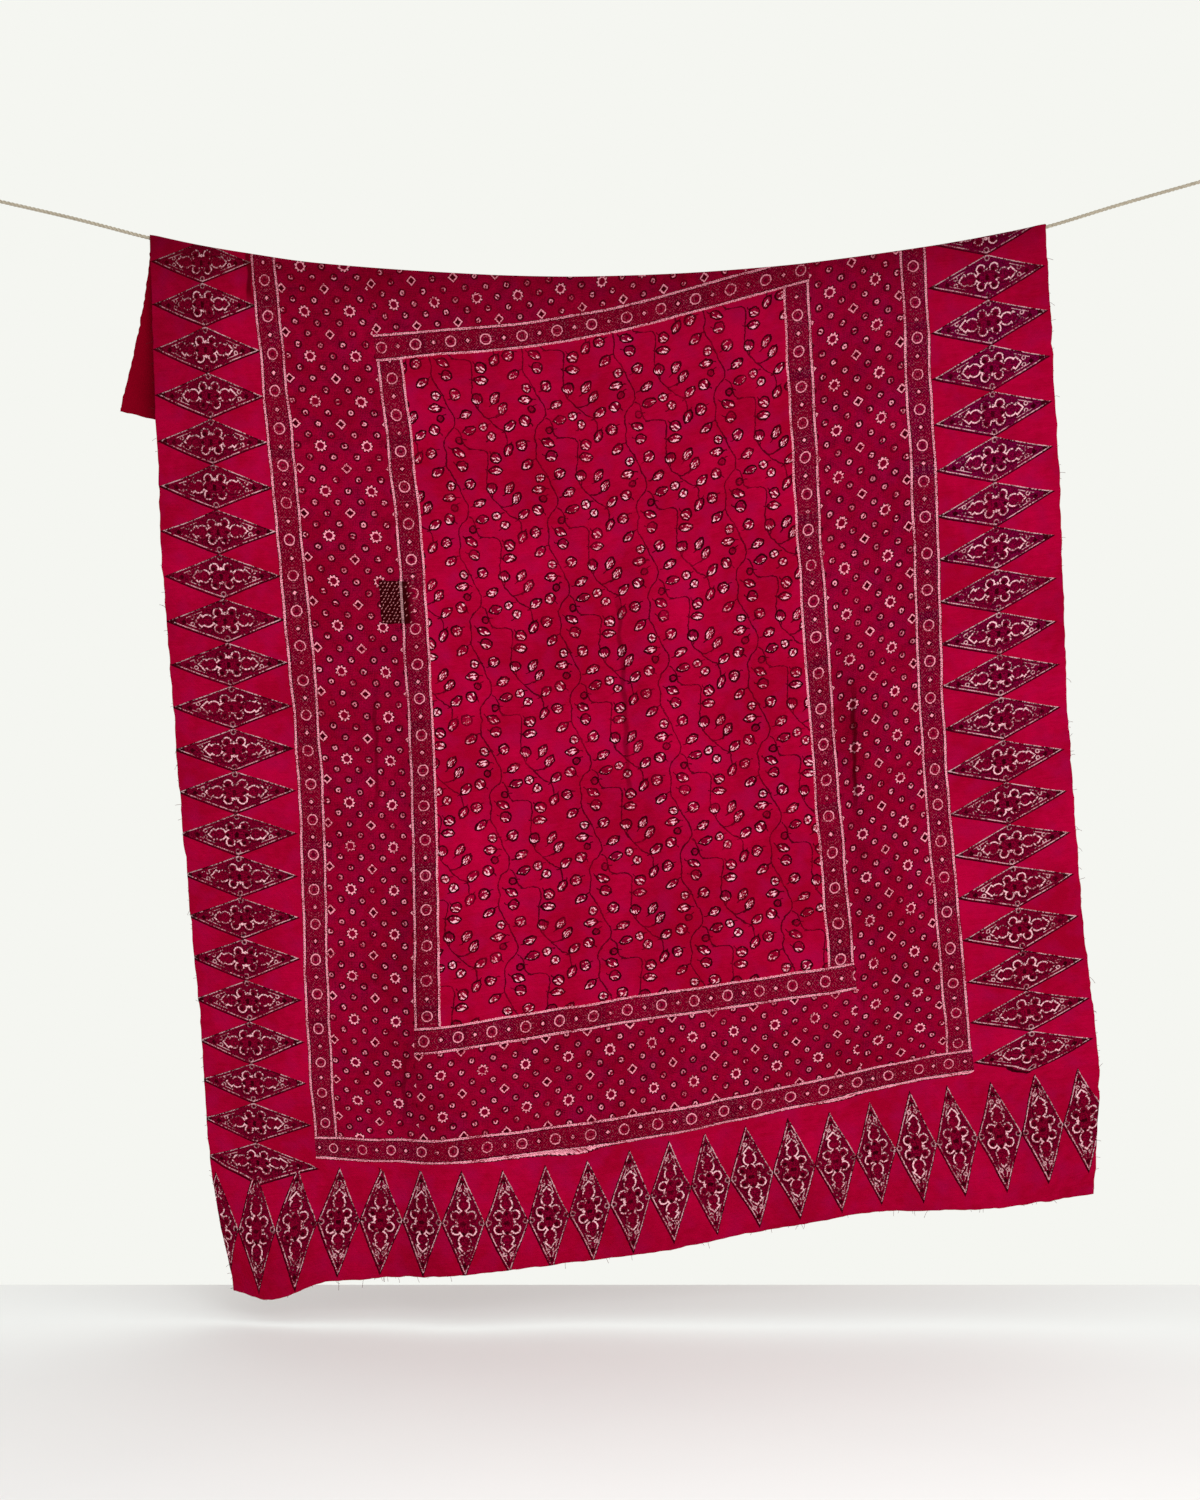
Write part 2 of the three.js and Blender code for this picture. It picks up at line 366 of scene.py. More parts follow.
# The vine's block in millimetres; a bud's turn and kind ride along as one small third coordinate
VINE_BLOCK = (152.0, 149.0)
KIND_STEP = 10
CODE_SCALE = 1000
VINE_BUDS = (
    Bud(39.8, 25.0, 180, BudKind.FLOWER), Bud(72.5, 25.0, 325, BudKind.ROUND),
    Bud(34.4, 44.6, 180, BudKind.LEAF), Bud(40.9, 62.0, 139, BudKind.DARK),
    Bud(84.6, 58.7, 338, BudKind.LEAF), Bud(28.0, 79.3, 214, BudKind.ROUND),
    Bud(86.3, 85.9, 350, BudKind.LEAF), Bud(109.3, 82.6, 160, BudKind.FLOWER),
    Bud(121.4, 98.9, 319, BudKind.FLOWER), Bud(65.8, 101.1, 170, BudKind.DARK),
    Bud(17.1, 117.4, 154, BudKind.ROUND), Bud(61.4, 120.7, 31, BudKind.LEAF),
    Bud(63.4, 142.4, 18, BudKind.ROUND), Bud(122.6, 133.7, 43, BudKind.ROUND),
    Bud(21.7, 1.0, 149, BudKind.LEAF), Bud(119.2, 5.3, 7, BudKind.LEAF),
    Bud(107.8, 34.8, 270, BudKind.ROUND), Bud(137.0, 37.0, 309, BudKind.LEAF),
    Bud(146.8, 55.4, 309, BudKind.LEAF), Bud(2.8, 84.8, 325, BudKind.LEAF),
    Bud(146.1, 122.8, 125, BudKind.LEAF),
)
VINE_STEMS = (
    Stem(0.0, 1.0, (
        (0.0, 0.264), (0.16, 0.334), (0.277, 0.370), (0.423, 0.419), (0.518, 0.402),
        (0.613, 0.308), (0.7, 0.268), (0.817, 0.274), (0.934, 0.251), (1.0, 0.264),
    )),
    Stem(0.53, 1.0, (
        (0.0, 0.413), (0.525, 0.413), (0.57, 0.45), (0.62, 0.468), (0.68, 0.475),
        (0.735, 0.487), (0.766, 0.515), (0.782, 0.56), (0.788, 0.62), (0.795, 0.665),
        (0.812, 0.7), (0.845, 0.716), (0.905, 0.714), (1.0, 0.693),
    )),
    Stem(0.0, 0.77, (
        (0.0, 0.693), (0.08, 0.682), (0.132, 0.672), (0.234, 0.673), (0.336, 0.696),
        (0.46, 0.782), (0.577, 0.882), (0.628, 0.951), (0.773, 0.964), (1.0, 0.964),
    )),
    Stem(0.785, 0.962, (
        (0.0, 0.455), (0.77, 0.455), (0.82, 0.462), (0.87, 0.452), (0.92, 0.426),
        (0.965, 0.385), (1.0, 0.35),
    ), True),
)


@dataclass(frozen=True)
class PrintedCotton:
    """Hand block-printed, hand-stitched cotton of the quilt's face."""

    centre: Point = (729.0, 947.0, 0.0)
    inner_half: Point = (308.0, 534.0, 0.0)
    band_width: float = 38.0
    band_apart: float = 190.0
    ring_pitch: float = 56.0
    tile_half: Point = (36.5, 36.0, 1.0)
    side_tiles_from: float = 381.0
    end_tiles_from: tuple[float, float] = (813.6, 342.0)
    column_middle: float = 636.0
    column_start: float = 194.0
    column_reach: float = 789.0
    column_half: Point = (97.5, 35.8, 0.0)
    column_pitch: float = 70.04
    row_half: Point = (86.0, 35.0, 0.0)
    row_middle: float = 968.0
    row_off: float = 882.0
    row_start: float = 15.0
    row_pitch: float = 68.1
    pale_block_off: tuple[float, float] = (1.0, 1.6)
    lobe: Point = (11.2, 12.8, 0.0)
    side_eye: Point = (0.0, 28.5, 0.0)
    vine_start: tuple[float, float] = (437.0, 1295.0)
    vine_scale: tuple[float, float] = (1.034, 1.035)
    vine_lean: float = 0.0584
    red: Colour = paint(148, 0, 36)
    pink_red: Colour = paint(173, 1, 53)
    # Painted shade: a darker red that the cloth takes towards the hem
    painted_hem_shade: Colour = paint(124, 0, 23)
    ground: Colour = paint(104, 0, 33)
    violet: Colour = paint(97, 0, 51)
    dark_ink: Colour = paint(46, 0, 8)
    pale_ink: Colour = paint(252, 163, 182)
    bud_ink: Colour = paint(252, 187, 203)
    lozenge_ink: Colour = paint(252, 196, 206)
    # Painted shade: the dark red laid in the creases, under the line and at the top of the left
    # edge
    painted_crease_shade: Colour = paint(62, 0, 5)
    mauve: Colour = paint(152, 5, 61)

    def material(self) -> bpy.types.Material:
        """Builds the printed face.

        Returns:
            The material, on the quilt's flat-cloth map.
        """
        g = Graph(bpy.data.materials.new("printed_cotton"))
        flat = flat_millimetres(g)
        drift, bleed = 5.0, 2.6
        mean = (drift + bleed) / 2
        place = g.vector("MULTIPLY_ADD", g.noise(flat, 70, 0, "Color"), (drift, drift, 0), flat)
        place = g.vector("MULTIPLY_ADD", g.noise(flat, 3, 1, "Color"), (bleed, bleed, 0), place)
        place = g.vector("SUBTRACT", place, (mean, mean, 0))
        across, up, _ = g.parts(place)
        reach = g.vector("ABSOLUTE", g.vector("SUBTRACT", place, self.centre))
        past_u, past_v, _ = g.parts(g.vector("SUBTRACT", reach, self.inner_half))
        past = past_u | past_v

        weave = self._weave(g, flat)
        shader = self._printed(g, weave, self._lozenges(g, across, up))
        for ink in (
            self._field(g, across, up, past_u, past),
            self._band(g, across, up, past_u, past_v),
            self._vine(g, across, up, past),
        ):
            shader = g.overlay(ink.where, self._printed(g, weave, ink), shader)
        return g.close(shader)

    def _weave(self, g: Graph, flat: Value) -> Weave:
        """Dyed and stitched cloth under the print, with its painted shade.

        Args:
            g: the material's graph.
            flat: place on the flat cloth in millimetres.

        Returns:
            The cloth.
        """
        across, up, _ = g.parts(flat)
        grain = g.noise(flat, 1.9, 1)
        cover = g.noise(flat, 38, 2)
        stain = g.noise(flat, 150, 2)
        drawn = g.vector("MULTIPLY", flat, (0.1, 1.0, 1.0))
        streak = g.noise(drawn, 2.6, 1) + g.noise(flat, 14, 1)
        dye_and_hem_shade = g.blend(self.red, self.pink_red, g.clamp((stain - 0.36) * 2.6 + streak - 1.0))
        dye_and_hem_shade = g.blend(dye_and_hem_shade, self.mauve, g.clamp((cover - 0.46) * 2.4))
        # Painted shade: darker towards the hem, fading out towards the right
        dye_and_hem_shade = g.blend(dye_and_hem_shade, self.painted_hem_shade, g.clamp((120 - up) * (0.0026 - across * 0.0000016)))
        upper_right = g.clamp((across - 950) / 250) * g.clamp((up - 500) / 700)
        ground = g.blend(self.ground, self.violet, upper_right * g.clamp(cover * 3 - 0.7))
        return Weave(
            dye_and_hem_shade=dye_and_hem_shade,
            ground=ground,
            grain=grain,
            dark_cover=g.clamp(grain * 0.9 + cover * 1.4 - 0.22),
            pale_cover=g.clamp((grain * 1.3 + cover * 0.8 - 0.86) * 6),
            # Painted shade: darker under the line, towards the top of the left edge and in the
            # sharp creases
            crease=g.attribute(FOLD_SHADE) | self._creases(g, flat),
            bump=g.bump(stitch_relief(g, flat), STITCH_DEPTH),
        )

    def _printed(self, g: Graph, weave: Weave, ink: Ink) -> Value:
        """Surface of the cloth with one motif's ink on it.

        Args:
            g: the material's graph.
            weave: the cloth.
            ink: the motif's ink.

        Returns:
            The shader.
        """
        colour = g.blend(weave.dye_and_hem_shade, weave.ground, g.clamp(ink.tone * (weave.grain * 2.8 - 0.3)))
        colour = g.blend(colour, self.dark_ink, ink.dark & weave.dark_cover)
        colour = g.blend(colour, ink.pale_ink, ink.pale & weave.pale_cover)
        # Painted shade laid over the print where the crease mask is set
        colour = g.blend(colour, self.painted_crease_shade, weave.crease)
        return g.surface(colour, 0.8 + weave.grain * 0.2, weave.bump, CLOTH_SHEEN)

    def _creases(self, g: Graph, flat: Value) -> Value:
        """How deep each place lies in one of the sharp creases, which are drawn as painted shade
        only.

        Args:
            g: the material's graph.
            flat: place on the flat cloth in millimetres.

        Returns:
            The depth, from 0 to 1, as the share of painted shade.
        """
        across, up, _ = g.parts(flat)
        wander, fade = 9.0, 40.0
        across = across + g.noise(flat, 30, 0) * wander - wander / 2
        depths = []
        for crease in CREASES:
            middle = (up - crease.low) * crease.lean + crease.across
            line = (1 - abs(across - middle) / crease.half) * 1.5
            ends = g.least(up - crease.low, crease.high - up) / fade
            depths.append(g.clamp(g.least(line, ends)) * crease.depth)
        return union(*depths)

    def _band(self, g: Graph, across: Value, up: Value, past_u: Value, past_v: Value) -> Ink:
        """Both ring borders with their ladder lines; the lying ones run over the upright ones.

        Args:
            g: the material's graph.
            across, up: place on the flat cloth.
            past_u, past_v: distance outside the middle panel, sideways and up or down.

        Returns:
            The borders' ink.
        """
        half, spare = self.band_width / 2, 2.6
        outer = (past_u | past_v) > self.band_apart * 0.6
        sideways = past_u - outer * self.band_apart
        upward = past_v - outer * self.band_apart
        lying = upward > -2.5
        off = abs(sideways + lying * (upward - sideways) - half)
        right, low = across > self.centre[0], up < self.centre[1]
        upright = up + right * (24 - outer * 40)
        upright = upright + (15 + outer * 14) * g.clamp((1620 - up) / 450) * (1 - right)
        level = across + low * ((across - 400) * 0.06 + outer * 13 - 3)
        along = upright + lying * (level - upright)
        on = (off < half + spare) & (sideways < self.band_width + spare)

        ladder = abs(off - half)
        rungs = (g.part(along / LADDER_RUNGS) < 0.6) & (ladder < 1.4)
        step = abs(g.wrap(along, self.ring_pitch / 2))
        ring = g.length(g.join(step, off))
        jewel = self.ring_pitch / 2 - step + off
        hatch = g.part(jewel / 4.4) < 0.4
        fleck = g.noise(g.join(along, off), 2.4, 0)
        pale = union(
            rungs,
            ladder.near(1.2, 0.4),
            ring.near(8.1, 0.9) & 0.8,
            (jewel < 3.2) & 0.9,
            (fleck < 0.36) & 0.12,
        )
        dark = union(
            ladder.near(2.4, 0.8),
            ring.near(10.2, 0.8) & 0.7,
            ring.near(6.2, 0.7) & 0.5,
            (ring < 3.2) & 0.7,
            jewel.near(5.4, 1.3),
            hatch & (ring > 10.6) & 0.85,
            (fleck > 0.58) & 0.45,
        )
        block_seam = g.part(along / 226) < 0.06
        return Ink(on, dark, pale, 0.42 + 0.3 * block_seam, self.pale_ink)

    def _field(self, g: Graph, across: Value, up: Value, past_u: Value, past: Value) -> Ink:
        """Stars, diamonds and small rings between the two borders.

        Args:
            g: the material's graph.
            across, up: place on the flat cloth.
            past_u, past: distance outside the middle panel, sideways and in all.

        Returns:
            The field's ink.
        """
        right = across > self.centre[0]
        from_middle = abs(across - self.centre[0])
        shrunk = ((900 - up) | 0.0) * (0.035 + right * 0.03)
        side_up = up - from_middle * 0.1 + right * 35 - 11.7 - shrunk
        side_cell = g.join(from_middle - self.side_tiles_from, side_up)
        end_across, end_up = self.end_tiles_from
        end_cell = g.join((across - end_across) * 1.113, up - end_up + (up < self.centre[1]) * 7)
        spread = g.choose(past_u > self.band_width + 3, side_cell, end_cell)
        cell = g.tile(spread, self.tile_half)
        x, y, _ = g.parts(cell)

        star_points = 9
        star = g.length(cell)
        ray = g.math("PINGPONG", g.math("ARCTAN2", y, x), math.pi / star_points)
        points = star - ray * 10.0
        corner = self.tile_half[0] + self.tile_half[1]
        jewel = corner - abs(x) - abs(y)
        turned = {"Vector": cell, "Rotation": (0, 0, math.pi / 4)}
        half = corner / 4 / math.sqrt(2)
        dot = g.length(g.tile(g.node("ShaderNodeMapping", None, turned), (half, half, 1.0)))
        clear = (star > 13) & (jewel > 12)
        broken = g.noise(spread, 5.0, 0) > 0.43
        fresh = g.clamp((g.noise(spread, 30, 1) - 0.4) * 8)
        fleck = g.noise(spread, 2.4, 0)

        net_mesh = 2.7
        net = (g.part(x / net_mesh) < 0.36) | (g.part(y / net_mesh) < 0.36)
        pale = union(
            (star > 5.6) & (points < 6.4),
            jewel.near(7.0, 1.3) & 0.9,
            dot.near(2.7, 1.1) & clear & broken & (0.4 + fresh * 0.45),
        )
        dark = union(
            (star < 5.0) & 0.5,
            points.near(7.6, 0.9),
            jewel < 4.6,
            jewel.near(9.9, 0.8) & 0.8,
            jewel.near(16.5, 0.6) & 0.5,
            ((dot < 1.6) | (dot.near(5.3, 1.5) & 0.9)) & clear,
            (fleck > 0.6) & 0.35,
            net & (g.noise(spread, 16, 2) - 0.34) * 1.9,
        )
        on = past.near((self.band_apart + self.band_width) / 2, self.band_apart / 2 - 21.6)
        return Ink(on, dark, pale, 0.12 + 0.2 * net, self.pale_ink)

    def _lozenges(self, g: Graph, across: Value, up: Value) -> Ink:
        """Row of pointed lozenges along each edge, their pale block set a little off the dark.

        Args:
            g: the material's graph.
            across, up: place on the flat cloth.

        Returns:
            The lozenges' ink.
        """
        spot = g.join(across, up)
        run = g.attribute(EDGE_RUN)
        inside, place = self._lozenge(g, across, up, run)
        along, aside, _ = g.parts(place)
        cartouche = self._cartouche(g, place)
        dark = union(
            inside.near(0.972, 0.032),
            along > 79,
            cartouche.near(2.2, 0.9) & 0.8,
            cartouche.near(-3.0, 0.8) & 0.6,
            g.distance(place, self.lobe) < 2.8,
            g.distance(place, self.side_eye) < 2.3,
            g.distance(place, (0.0, 2.0, 0.0)) < 3.0,
            abs(along - 66) + aside < 4.5,
            abs(along - 15) + aside < 3.4,
            (g.noise(spot, 2.6, 0) > 0.54) & 0.7,
        )
        on = inside < 1.0

        right, higher = self.pale_block_off
        shown, block = self._lozenge(g, across - right, up - higher, run - higher)
        along, _, _ = g.parts(block)
        pale = union(
            shown.near(0.93, 0.022) & 0.68,
            shown.near(0.78, 0.016) & along.near(50, 13) & 0.7,
            self._cartouche(g, block).near(0.0, 1.1),
            g.distance(block, (53.0, 5.4, 0.0)).near(2.8, 0.8) & 0.7,
            g.distance(block, self.side_eye).near(3.6, 0.8) & 0.4,
            g.distance(block, (0.0, 11.0, 0.0)) < 2.5,
        )
        kept = g.noise(spot, 3.6, 1) * 0.7 + g.noise(spot, 20, 0) * 0.5 - (across < 190) * 0.03
        pale = pale & (shown < 0.965) & g.clamp((kept - 0.5) * 8) & 0.95
        tone = 0.88 - (cartouche < -1) * 0.24
        return Ink(on, on & dark, pale, on & tone, self.lozenge_ink)

    def _lozenge(self, g: Graph, across: Value, up: Value, run: Value) -> tuple[Value, Value]:
        """The nearest lozenge of the columns and the rows.

        Args:
            g: the material's graph.
            across, up: place on the flat cloth.
            run: how far along the columns the place lies.

        Returns:
            A measure that is 1 on its rim, and the place along and aside from its middle.
        """
        right = across > self.centre[0]
        inset = g.clamp(1.7 - abs(up - 820) / 300) * 6
        inset = inset + (1 - right) * (g.clamp((up - 700) / 350) * 8 - 4 - inset)
        out = abs(across - self.centre[0]) - self.column_middle + inset
        step = g.wrap(run - self.column_start, self.column_pitch / 2)
        column = g.vector("ABSOLUTE", g.join(out, step))
        row_out = abs(up - self.row_middle) - self.row_off
        row_step = g.wrap(across - self.row_start, self.row_pitch / 2)
        row = g.vector("ABSOLUTE", g.join(row_out, row_step))
        in_column = g.vector("DOT_PRODUCT", column, inverse(self.column_half), output="Value")
        in_column = in_column + (abs(run - self.centre[1]) > self.column_reach) * 9
        in_row = g.vector("DOT_PRODUCT", row, inverse(self.row_half), output="Value")
        return g.least(in_column, in_row), g.choose(in_row < in_column, row, column)

    def _cartouche(self, g: Graph, place: Value) -> Value:
        """Distance outside the lobed cartouche in a lozenge."""
        along, aside, _ = g.parts(place)
        lobe = g.distance(place, self.lobe) - 7.0
        petal = g.distance(place, (28.5, 0.0, 0.0)) - 9.6
        tip = (abs(along - 39.0) + aside - 9.5) * 0.7
        heart = g.distance(place, (0.0, -18.6, 0.0)) - 29.5
        return g.least(petal, tip, lobe, heart)

    def _vine(self, g: Graph, across: Value, up: Value, past: Value) -> Ink:
        """Winding vine with buds in the middle panel.

        Args:
            g: the material's graph.
            across, up: place on the flat cloth.
            past: distance outside the middle panel.

        Returns:
            The vine's ink.
        """
        down = (self.vine_start[1] - up) * self.vine_scale[1]
        down = down + ((down - 347) | 0.0) * 0.03
        right = (across - self.vine_start[0]) * self.vine_scale[0] - down * self.vine_lean
        sway = 5.0
        wiggle = g.noise(g.join(right, down), 13.0, 1, "Color")
        steady = g.join(right - sway / 2, down - sway / 2)
        place = g.vector("MULTIPLY_ADD", wiggle, (sway, sway, 0.0), steady)
        blocks = g.vector("DIVIDE", place, (*VINE_BLOCK, 1.0))
        share_right, share_down, _ = g.parts(g.vector("FRACTION", blocks))
        upright, lying = (share_right, share_down), (share_down, share_right)
        stems = union(
            *(self._stem(g, *(lying if stem.lying else upright), stem) for stem in VINE_STEMS)
        )

        half = (VINE_BLOCK[0] / 2, VINE_BLOCK[1] / 2, 1.0)
        nearest, least = None, None
        for bud in VINE_BUDS:
            code = (math.radians(bud.turn) + KIND_STEP * bud.kind.value) / CODE_SCALE
            local = g.tile(g.vector("SUBTRACT", place, (bud.right, bud.down, -code)), half)
            away = g.length(local)
            if nearest is None:
                nearest, least = local, away
            else:
                nearest = g.choose(away < least, local, nearest)
                least = g.least(away, least)
        dark, pale = self._bud(g, nearest)
        return Ink(past < -1.5, dark | (stems & 0.85), pale, 0.0, self.bud_ink)

    def _stem(self, g: Graph, aside: Value, along: Value, stem: Stem) -> Value:
        """Thin line along one stem of the vine's block.

        Args:
            g: the material's graph.
            aside, along: place in the block from 0 to 1, square to the stem's run and along it.
            stem: the stem.

        Returns:
            The line's mask.
        """
        ahead = 0.006
        settings = {"knots": stem.knots}
        here = g.node("ShaderNodeFloatCurve", settings, {"Value": along})
        soon = g.node("ShaderNodeFloatCurve", settings, {"Value": along + ahead})
        slope = (soon - here) / ahead
        off = abs(aside - here) * VINE_BLOCK[0] / g.math("SQRT", slope * slope + 1)
        return (off < 1.15) & (along > stem.first) & (along < stem.last)

    def _bud(self, g: Graph, nearest: Value) -> tuple[Value, Value]:
        """Drawing of the nearest bud.

        Args:
            g: the material's graph.
            nearest: place from the bud's middle, with its turn and kind as a third number.

        Returns:
            Masks of its dark and its pale ink.
        """
        _, down, code = g.parts(nearest)
        kind = g.math("FLOOR", code * (CODE_SCALE / KIND_STEP))
        back = kind * KIND_STEP - code * CODE_SCALE
        about_z = {"rotation_type": "Z_AXIS"}
        turned = g.node("ShaderNodeVectorRotate", about_z, {"Vector": nearest, "Angle": back})
        x, y, _ = g.parts(turned)
        leaf, flower, unlit = (
            kind.near(one.value, 0.5) for one in (BudKind.LEAF, BudKind.FLOWER, BudKind.DARK)
        )
        bow = 11.0 - kind * 1.6 + leaf * 2.4
        rim = bow - g.length(g.join(x, abs(y) + leaf * 6.0))
        stroke = g.noise(g.join(x * 0.17, y * 0.38, code * 5000), 1.0, 1)
        cross = abs(x * y) > 3.0
        lit = stroke + down * 0.012 + cross * flower * 0.16 > 0.575
        pale = lit & (rim > 2.2) & (1 - unlit) & (cross | (1 - flower))
        behind = x + bow - leaf * 1.5
        stalk = behind.near(-3.0, 3.4) & (y + behind * behind * 0.05).near(0.4, 1.0)
        veins = (rim > 0) & ((stroke < 0.42) | (abs(y - 0.5) < 0.7))
        dark = rim.near(0.7, 1.5) | (stalk & 0.9) | (veins & 0.6) | ((rim > 0) & 0.2)
        return dark & (1 - pale * 0.6), pale


@dataclass(frozen=True)
class PlainCotton:
    """Unprinted red cotton of the quilt's reverse and its raw edges."""

    red: Colour = paint(139, 1, 29)
    deep_red: Colour = paint(119, 0, 20)

    def material(self) -> bpy.types.Material:
        """Builds the reverse of the cloth."""
        g = Graph(bpy.data.materials.new("plain_red_cotton"))
        flat = flat_millimetres(g)
        colour = g.blend(self.red, self.deep_red, g.noise(flat, 90, 3))
        roughness = 0.82 + g.noise(flat, 3, 1) * 0.16
        bump = g.bump(stitch_relief(g, flat), STITCH_DEPTH)
        return g.close(g.surface(colour, roughness, bump, CLOTH_SHEEN))


@dataclass(frozen=True)
class DarnedCotton:
    """Dark darned cloth of the mend, with the border's ladder line showing through."""

    dark: Colour = paint(54, 2, 6)
    worn: Colour = paint(109, 2, 31)
    ladder: Colour = paint(210, 156, 161)
    ladder_across: float = 383.0
    worn_from: float = 391.0
    thread_pitch: float = 1.1

    def material(self) -> bpy.types.Material:
        """Builds the patch cloth."""
        g = Graph(bpy.data.materials.new("darned_cotton"))
        flat = flat_millimetres(g)
        across, up, _ = g.parts(flat)
        warp, weft = (g.part(place / self.thread_pitch) < 0.5 for place in (across, up))
        threads = warp | weft
        soft = g.noise(flat, 9, 2)
        worn = g.clamp((soft - 0.6) * 2 + (across - self.worn_from) * 0.16)
        ladder = (abs(across - self.ladder_across) < 2.1) & (g.part(up / LADDER_RUNGS) < 0.8)
        colour = g.blend(self.dark, self.worn, worn)
        colour = g.blend(colour, self.ladder, ladder & g.clamp(soft * 1.7 - 0.1))
        bump = g.bump(threads, 0.0003)
        return g.close(g.surface(colour, 0.85 + threads * 0.1, bump, CLOTH_SHEEN))


@dataclass(frozen=True)
class Strand:
    """Twisted plant or cotton fibre of a rope, a twine or a thread."""

    name: str
    light: Colour
    shade: Colour
    fibre: float

    def material(self) -> bpy.types.Material:
        """Builds the fibre, drawn out along the strand."""
        g = Graph(bpy.data.materials.new(self.name))
        along = g.node("ShaderNodeUVMap", {"uv_map": STRAND_MAP})
        drawn = g.vector("MULTIPLY", along, (1000 / self.fibre / 14, 26 / self.fibre, 1.0))
        hair = g.noise(drawn, 1.0, 2)
        patch = g.noise(drawn, 9.0, 2)
        colour = g.blend(self.light, self.shade, g.clamp(hair * 1.5 + patch - 0.75))
        bump = g.bump(hair, self.fibre / 2500)
        return g.close(g.surface(colour, 0.78 + hair * 0.2, bump, FIBRE_SHEEN))


def inverse(lengths: Point) -> Point:
    """One over each length, or zero where it is zero."""
    return tuple(1 / length if length else 0.0 for length in lengths)


def flat_millimetres(g: Graph) -> Value:
    """Place on the flat cloth in millimetres, from a piece's flat-cloth map."""
    return g.vector("MULTIPLY", g.node("ShaderNodeUVMap", {"uv_map": CLOTH_MAP}), (1000.0,) * 3)


def stitch_relief(g: Graph, flat: Value) -> Value:
    """Relief of the running stitches: lying rows of small dents, and a fine weave.

    Args:
        g: the material's graph.
        flat: place on the flat cloth in millimetres.

    Returns:
        Height, from 0 to about 1.
    """
    sway = g.vector("MULTIPLY_ADD", g.noise(flat, 35, 1, "Color"), (8.0, 3.2, 0.0), flat)
    across, up, _ = g.parts(sway)
    row = up / STITCH_ROWS
    stagger = g.math("FLOOR", row) * 0.37
    between = abs(g.part(row) - 0.5) * 2
    dash = abs(g.part(across / STITCH_PITCH + stagger) - 0.5) * 2
    dent = (1 - between) * g.clamp(dash * 3 - 1)
    stretched = g.vector("MULTIPLY", flat, (0.25, 1.0, 1.0))
    return 0.6 - dent * 0.4 + g.noise(stretched, 4.5, 2) * 0.7


class Panel(Enum):
    """The three stretches of the hanging cloth, from the front hem over the line."""

    FRONT = "front"
    BEND = "bend"
    BACK = "back"


class Side(Enum):
    """The two ends of the line; the value is the way in along X."""

    LEFT = 1
    RIGHT = -1


@dataclass(frozen=True)
class Fold:
    """One soft fold of the front: its path, its rise and the width of its flanks."""

    upper: float
    lower: float
    start: float
    end: float
    rise: float
    left: float
    right: float


@dataclass(frozen=True)
class Ripple:
    """One ripple of the back flap at its hem."""

    at: float
    rise: float
    width: float


@dataclass(frozen=True)
class Unevenness:
    """One layer of small relief: its share, the size of its patches, their lean and its seed."""

    share: float
    size: tuple[float, float]
    lean: float
    seed: int


# Hooks as x and z, the rope's slope at each, and the routes of the line and of a loop
HOOKS = {Side.LEFT: (0.0, 0.0), Side.RIGHT: (2.176, 0.038)}
ROPE_SLOPES = {Side.LEFT: 0.222, Side.RIGHT: 0.275}
LINE_ROUTE = np.array([
    (0.248, -0.053), (0.368, -0.084), (0.448, -0.1015), (0.528, -0.1148), (0.608, -0.1268),
    (0.688, -0.1345), (0.768, -0.1406), (0.848, -0.1454), (0.928, -0.1494), (1.024, -0.1516),
    (1.088, -0.151), (1.168, -0.1486), (1.248, -0.1446), (1.328, -0.1386), (1.408, -0.1312),
    (1.488, -0.1212), (1.568, -0.11), (1.648, -0.0976), (1.728, -0.0828), (1.8, -0.0668),
    (1.92, -0.0304),
])
LOOP_ROUTE = (
    (0.116, -0.0032), (0.1, -0.0032), (0.086, -0.0032), (0.074, -0.0036), (0.06, -0.008),
    (0.042, -0.015), (0.028, -0.0189), (0.016, -0.02), (0.006, -0.0173), (-0.0007, -0.01),
    (-0.003, 0.0), (-0.0007, 0.01), (0.006, 0.0173), (0.016, 0.02), (0.028, 0.0189),
    (0.042, 0.015), (0.06, 0.008), (0.074, 0.0036), (0.0863, 0.0032), (0.1063, 0.0032),
    (0.1263, 0.0032),
)

# Upright lines of the quilt: across, the front's drop, x at six heights, the back hem's shift
UPRIGHTS = np.array([
    (0.0, 1.693, 0.3672, 0.3824, 0.407, 0.445, 0.4608, 0.498, -0.056),
    (0.08, 1.687, 0.4348, 0.4598, 0.4897, 0.518, 0.5332, 0.5623, -0.05),
    (0.193, 1.641, 0.5304, 0.5688, 0.6048, 0.62, 0.6352, 0.6512, -0.042),
    (0.383, 1.609, 0.7136, 0.7624, 0.788, 0.7952, 0.8032, 0.8144, -0.032),
    (0.729, 1.559, 1.0704, 1.1013, 1.128, 1.1494, 1.1568, 1.1648, -0.015),
    (0.9, 1.531, 1.2427, 1.2678, 1.2936, 1.3194, 1.3291, 1.3387, -0.008),
    (1.075, 1.516, 1.4192, 1.4384, 1.4632, 1.4936, 1.5056, 1.5168, 0.0),
    (1.265, 1.535, 1.6072, 1.624, 1.6376, 1.6696, 1.6864, 1.7008, 0.004),
    (1.466, 1.544, 1.8016, 1.8224, 1.837, 1.8648, 1.882, 1.874, 0.0),
])
HEIGHTS = np.array([0.0, 0.25, 0.5, 0.75, 0.88, 1.0])

# How far below the line three printed lines lie, and the print's height at the hem, by across
PRINTED_HEIGHTS = (1.478, 0.373, 0.186)
PRINTED_LINES = np.array([
    (0.0, 0.2276, 1.3146, 1.4826, -0.010), (0.193, 0.1825, 1.2809, 1.4409, -0.010),
    (0.383, 0.1467, 1.2539, 1.4259, 0.0), (0.729, 0.0946, 1.1874, 1.373, 0.0),
    (1.075, 0.0261, 1.1581, 1.3213, -0.010), (1.265, 0.0184, 1.1512, 1.3128, -0.032),
    (1.466, 0.0356, 1.1636, 1.3284, -0.032),
])

